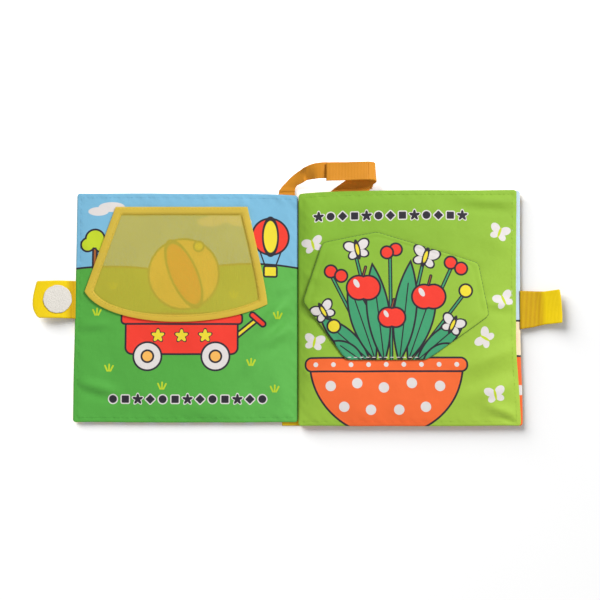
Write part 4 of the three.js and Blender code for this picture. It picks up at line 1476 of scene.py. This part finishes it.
def disc(name, centre, up, radius, thickness, material, seed):
    """A round hook or loop patch with a rounded rim and a fuzzy top."""
    rings = (1, 0.995, 0.97, 0.93, 0.85, 0.75, 0.62, 0.48, 0.34, 0.2, 0.08)
    sides = 72
    angles = np.linspace(0, 2 * math.pi, sides, endpoint=False)
    rim = radius * (1 + 0.008 * np.sin(7 * angles) + 0.006 * np.sin(13 * angles + 1))
    outline = np.stack([rim * np.cos(angles), rim * np.sin(angles)], 1)

    def height(x, y, share):
        edge = (1 - share) * radius
        groove = 0.25 * np.exp(-(((edge - 1.2) / 0.4) ** 2))
        fuzz = 0.07 * ripple(x, y, 1.9, seed) + 0.05 * ripple(x, y, 1.1, seed + 1)
        return (thickness - groove + fuzz) * rounded_edge(edge, 0.5)

    piece = rings_mesh(name, outline, rings, height, material)
    points = [np.array(vertex.co) / MM for vertex in piece.data.vertices]
    faces = [list(face.vertices) for face in piece.data.polygons] + [list(range(sides))[::-1]]
    flat = [point[:2] for point in points]
    bpy.data.objects.remove(piece)
    turned = []
    side = np.cross(up, (0, 1, 0))
    side /= np.linalg.norm(side)
    ahead = np.cross(up, side)
    for point in points:
        turned.append(np.array(centre) + point[0] * side + point[1] * ahead + point[2] * np.array(up))
    return add_mesh(name, turned, faces, flat, [material])


def reshape(piece, shaped):
    """Moves each point of a mesh to where shaped takes it."""
    points = np.zeros(3 * len(piece.data.vertices), np.float32)
    piece.data.vertices.foreach_get("co", points)
    points = points.reshape(-1, 3) / MM
    piece.data.vertices.foreach_set("co", (np.stack(shaped(*points.T), 1) * MM).ravel())
    piece.data.update()


def add_tab(title, root_x, body, length, middle_y, tilt, shape, disc_node, disc_up):
    """A ribbon folded back on itself with both ends in the fore edge, and its round patch. The shape says
    how far the folded end is drawn in, and how the ribbon's middle, width and height run along it."""
    side = 1 if root_x > 0 else -1
    lean = math.radians(tilt)
    out = np.array([side * math.cos(lean), 0, math.sin(lean)])
    up = np.array([-side * math.sin(lean), 0, math.cos(lean)])
    half = TAB_WIDTH / 2
    root = np.array([root_x, middle_y, RIM_LIFT + 0.9 + (0.9 if side > 0 else 0)])
    run = length - TAB_FOLD
    span = np.array([0, half, 0])

    def layer(share, lift):
        return root + share * run * out + lift * up, span

    there = np.linspace(0, 1, 22)
    stations = [layer(share, TAB_CLOSE * (1 - share) - TAB_FOLD) for share in there]
    for step in range(1, 8):
        angle = math.pi * (step / 8 - 0.5)
        turned = TAB_FOLD * (math.cos(angle) * out + math.sin(angle) * up)
        stations.append((root + run * out + turned, span))
    for share in there[::-1]:
        bow = TAB_BOW * math.sin(math.pi * share)
        stations.append(layer(share, TAB_FOLD - TAB_CLOSE * (1 - share) + bow))
    tab = ribbon(f"{title}_tab_ribbon_cloth", stations, RIBBON, MATERIALS[f"{title}_tab"], 0.05)
    if side < 0:
        flip(tab)
    drawn_in, middle_along, width_along, height_along = shape

    def shaped(x, y, z):
        share = np.clip((side * x - abs(root_x)) / length, 0, 1)
        across = (y - middle_y) / half
        x = x - side * share**2 * np.interp(across, *drawn_in)
        y = middle_y + np.interp(share, *middle_along) + (y - middle_y) * np.interp(share, *width_along)
        return x, y, z + np.interp(share, *height_along)

    reshape(tab, shaped)
    ride_and_slot(tab, None, "tab_ribbon", f"{title}_tab_ribbon")
    facing = up if disc_up else -up
    lift = TAB_FOLD + RIBBON / 2 + (0.5 if disc_up else 0.02)
    centre = root + (length - DISC_INSET) * out + facing * lift
    if disc_up:
        centre = np.array(shaped(*centre))
    patch = disc(
        f"{disc_node}_pile", centre, facing, DISC_RADIUS, 1.0 if disc_up else 0.75,
        MATERIALS["hook" if disc_up else "loop"], 3 + side,
    )
    if not disc_up:
        reshape(patch, shaped)
    ride_and_slot(patch, body, "hook_disc" if disc_up else "loop_disc", disc_node)
    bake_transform(tab)


# Each row gives places from 0 to 1 along the ribbon, or from -1 to 1 across it, and a value at each
FRONT_TAB_SHAPE = (
    ((-1, -0.8, -0.5, -0.15, 0.4, 0.85, 1), (3.4, 0.6, -0.6, -1.2, -0.2, 1.2, 2.0)),
    ((0, 0.4, 1), (0, 0.4, 0.1)),
    ((0, 0.5, 1), (1.03, 1.02, 1.0)),
    ((0, 0.25, 0.7, 1), (0, -0.3, 0.2, 0.3)),
)
BACK_TAB_SHAPE = (
    ((-1, -0.7, 0, 0.7, 1), (0.3, 0, 0.3, 0.9, 1.7)),
    ((0, 0.3, 0.6, 1), (-0.2, 0.2, 1.1, 2.3)),
    ((0, 0.3, 0.6, 1), (1.05, 0.99, 0.9, 0.91)),
    ((0, 0.15, 0.4, 0.55, 0.75, 1), (0, -0.9, -2.1, -1.9, -1.0, 0.2)),
)
add_tab(
    "front", -151.6, "front_tab", length=27.6, middle_y=4.4, tilt=6,
    shape=FRONT_TAB_SHAPE, disc_node="front_tab_hook_disc", disc_up=True,
)
add_tab(
    "back", 150.9, "back_tab", length=28.1, middle_y=-2.3, tilt=4,
    shape=BACK_TAB_SHAPE, disc_node="back_tab_loop_disc", disc_up=False,
)


# Carrying strap: each station gives the ribbon's middle and the half of it on one side
HALF = STRAP_WIDTH / 2
ROOT_Z = 1.2  # height of its sewn ends
RUN_Y = 91.9  # middle and height of its straight run
RUN_Z = 8.4
END_Z = 11.15  # height of its free end
ROOT_LEFT_STATIONS = (
    ((-8, 70.1, ROOT_Z), (-HALF, 0, 0)),
    ((-7.8, 79.6, ROOT_Z), (-5.35, 0, 0)),
    ((-7.5, 80.2, ROOT_Z), (-5, 0, 0)),
)
ROOT_RIGHT_STATIONS = (
    ((24.9, 70.1, ROOT_Z), (12.8, 0, 0)),
    ((36.9, 80.7, ROOT_Z), (12.8, 0, 0)),
)
SHORT_STATIONS = (
    ((-7.8, 78.6, ROOT_Z + 0.1), (-5.6, 0, 0)),
    ((-6.9, 81.4, 1.4), (-4.9, 0.2, -0.1)),
    ((-4.6, 84.1, 2.2), (-3.9, 1.0, -0.3)),
    ((-0.6, 87.1, 3.7), (-3.0, 2.8, -0.5)),
    ((3.2, 89.4, 5.4), (-1.4, 4.0, -0.2)),
    ((5.2, 90.6, 6.3), (-0.3, 4.2, 2.9)),
    ((8.4, 91.5, 7.4), (0, 4.8, 2.6)),
    ((12.6, 92.1, RUN_Z + 0.4), (0, 5.3, 0.8)),
    ((17.5, 92.5, RUN_Z + 0.6), (0, 5.5, 0.4)),
    ((21, 92.4, RUN_Z), (0, 5.7, 0.1)),
    ((24, 92.3, RUN_Z - 0.05), (0, 5.9, 0)),
    ((38, RUN_Y, RUN_Z), (0, HALF, 0)),
)
LONG_STATIONS = (
    ((36.9, 80.7, ROOT_Z), (12.8, 0, 0)),
    ((46.4, 86.6, ROOT_Z + 0.1), (3.8, -5.6, 0)),
    ((48.4, 89.5, ROOT_Z + 0.3), (3.1, -5.7, 0)),
    ((51.2, 90.5, 3.2), (1.4, -6.1, 0)),
    ((52.8, 91.4, 6.2), (0.3, -HALF, 0)),
    ((51.2, 91.8, 9.4), (0, -HALF, 0)),
    ((48.4, RUN_Y, END_Z - 0.1), (0, -HALF, 0)),
    ((47.7, RUN_Y, END_Z), (0, -HALF, 0)),
)
END_STATIONS = (
    ((47.75, RUN_Y, END_Z), (0, -HALF, 0)),
    ((40, RUN_Y - 0.2, END_Z + 0.1), (0, -HALF, 0)),
    ((28, RUN_Y - 0.7, END_Z), (0, -HALF, 0)),
    ((22, RUN_Y - 0.8, END_Z), (0, -HALF, 0)),
    ((19, RUN_Y - 0.9, END_Z - 0.35), (0, -HALF, 0)),
)


def add_strap():
    """The strap's two ribbons from their sewn ends to their overlap, and the patches that close it."""
    material = MATERIALS["strap"]
    roots = (("strap_root_left", ROOT_LEFT_STATIONS), ("strap_root_right", ROOT_RIGHT_STATIONS))
    for node, stations in roots:
        piece = ribbon(f"{node}_cloth", smooth_stations(stations, 1.5), RIBBON, material)
        ride_and_slot(piece, "back_cover", "strap_ribbon", node)
    for node, stations in (("strap_short_ribbon", SHORT_STATIONS), ("strap_long_ribbon", LONG_STATIONS)):
        piece = ribbon(f"{node}_cloth", smooth_stations(stations, 1.0), RIBBON, material, 0.08)
        ride_and_slot(piece, None, "strap_ribbon", node)
        start, end = ((0, height * MM, 0) for height in STRAP_BEND)
        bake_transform(piece)
    end = ribbon("strap_end_ribbon_cloth", smooth_stations(END_STATIONS, 1.0), RIBBON, material, 0.08)
    ride_and_slot(end, None, "strap_ribbon", "strap_end_ribbon")
    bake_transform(end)
    for node, body, height in (
        ("strap_hook_patch", "carry_strap", 9.35),
        ("strap_loop_patch", "strap_end", 10.25),
    ):
        stations = [((x, RUN_Y, height), (0, -PATCH_HALF, 0)) for x in PATCH_ENDS]
        patch = ribbon(f"{node}_pile", stations, PATCH_THICKNESS, MATERIALS["hook"])
        ride_and_slot(patch, body, "strap_ribbon", node)


add_strap()


# Table, light and camera
BACKLIGHT_FROM = (0.072, 0.086)  # the table glows more behind the book, in metres from its middle
BACKLIGHT = (0.05, 0.85)
TABLE_HALF = 3000.0
TABLE_GAP = 0.02  # under the book
FILL_LIGHT = 0.36


def add_floor():
    """The table, which glows a little to the camera, and more behind the book."""
    material = bpy.data.materials.new("table")
    material.use_nodes = True
    nodes, links = material.node_tree.nodes, material.node_tree.links
    shader = nodes["Principled BSDF"]
    shader.inputs["Base Color"].default_value = (0.95, 0.95, 0.95, 1)
    shader.inputs["Roughness"].default_value = 0.9
    shader.inputs["Specular IOR Level"].default_value = 0.1
    glow = nodes.new("ShaderNodeEmission")
    glow.inputs["Color"].default_value = (1, 1, 1, 1)
    path = nodes.new("ShaderNodeLightPath")
    place = nodes.new("ShaderNodeTexCoord")
    split = nodes.new("ShaderNodeSeparateXYZ")
    behind = nodes.new("ShaderNodeMapRange")
    for title, value in zip(("From Min", "From Max", "To Min", "To Max"), (*BACKLIGHT_FROM, *BACKLIGHT)):
        behind.inputs[title].default_value = value
    share = nodes.new("ShaderNodeMath")
    share.operation = "MULTIPLY"
    links.new(place.outputs["Object"], split.inputs[0])
    links.new(split.outputs[1], behind.inputs["Value"])
    links.new(path.outputs["Is Camera Ray"], share.inputs[0])
    links.new(behind.outputs[0], share.inputs[1])
    links.new(share.outputs[0], glow.inputs["Strength"])
    add = nodes.new("ShaderNodeAddShader")
    links.new(shader.outputs[0], add.inputs[0])
    links.new(glow.outputs[0], add.inputs[1])
    links.new(add.outputs[0], nodes["Material Output"].inputs["Surface"])
    corners = [(x, y, -TABLE_GAP) for x, y in ((-1, -1), (1, -1), (1, 1), (-1, 1))]
    corners = [(TABLE_HALF * x, TABLE_HALF * y, z) for x, y, z in corners]
    floor = add_mesh("table_top", corners, [[0, 1, 2, 3]], materials=[material], smooth=False)
    return floor


def add_world():
    """An even fill light, under a background that the camera sees white."""
    world = bpy.data.worlds.new("studio")
    bpy.context.scene.world = world
    world.use_nodes = True
    nodes, links = world.node_tree.nodes, world.node_tree.links
    fill = nodes["Background"]
    fill.inputs["Color"].default_value = (1, 1, 1, 1)
    fill.inputs["Strength"].default_value = FILL_LIGHT
    white = nodes.new("ShaderNodeBackground")
    white.inputs["Color"].default_value = (1, 1, 1, 1)
    white.inputs["Strength"].default_value = 1.0
    path = nodes.new("ShaderNodeLightPath")
    seen = nodes.new("ShaderNodeMath")
    seen.operation = "MAXIMUM"
    links.new(path.outputs["Is Camera Ray"], seen.inputs[0])
    links.new(path.outputs["Is Transmission Ray"], seen.inputs[1])
    mix = nodes.new("ShaderNodeMixShader")
    links.new(seen.outputs[0], mix.inputs[0])
    links.new(fill.outputs[0], mix.inputs[1])
    links.new(white.outputs[0], mix.inputs[2])
    links.new(mix.outputs[0], nodes["World Output"].inputs["Surface"])


def add_lamp(name, place, size, power, table, lit):
    """A round soft lamp that looks at the middle of the table. Place and size are in metres. With INCLUDE
    it lights the table alone, with EXCLUDE all but the table."""
    light = bpy.data.lights.new(name, "AREA")
    light.shape = "DISK"
    light.size = size
    light.energy = power
    lamp = bpy.data.objects.new(name, light)
    lamp.location = place
    lamp.rotation_euler = (-Vector(place)).to_track_quat("-Z", "Y").to_euler()
    bpy.context.scene.collection.objects.link(lamp)
    group = bpy.data.collections.new(f"{name}_table")
    group.objects.link(table)
    group.collection_objects[0].light_linking.link_state = lit
    lamp.light_linking.receiver_collection = group


# The camera, in metres
TARGET = Vector((0.0012, 0.0042, 0.004))
DISTANCE = 0.84
ELEVATION = math.radians(86)
VIEW_WIDTH = 0.408  # of the table that the photograph takes in
SENSOR = 36.0


def add_camera():
    """Straight above the table but for a few degrees, as in the photograph."""
    data = bpy.data.cameras.new("photograph")
    data.sensor_fit = "HORIZONTAL"
    data.sensor_width = SENSOR
    data.lens = SENSOR * DISTANCE / VIEW_WIDTH
    data.clip_start = 0.01
    camera = bpy.data.objects.new("photograph", data)
    away = Vector((0, -math.cos(ELEVATION), math.sin(ELEVATION)))
    camera.location = TARGET + DISTANCE * away
    camera.rotation_euler = (-away).to_track_quat("-Z", "Y").to_euler()
    bpy.context.scene.collection.objects.link(camera)
    bpy.context.scene.camera = camera


table = add_floor()
add_world()
add_lamp("key", (1.6, 1.6, 2.15), size=1.5, power=92, table=table, lit="EXCLUDE")
add_lamp("front_light", (-0.65, -0.9, 0.85), size=0.22, power=2, table=table, lit="EXCLUDE")
add_lamp("table_light", (-2.9, 3.3, 2.2), size=4.0, power=440, table=table, lit="INCLUDE")
add_camera()
bpy.context.scene.view_settings.view_transform = "Standard"
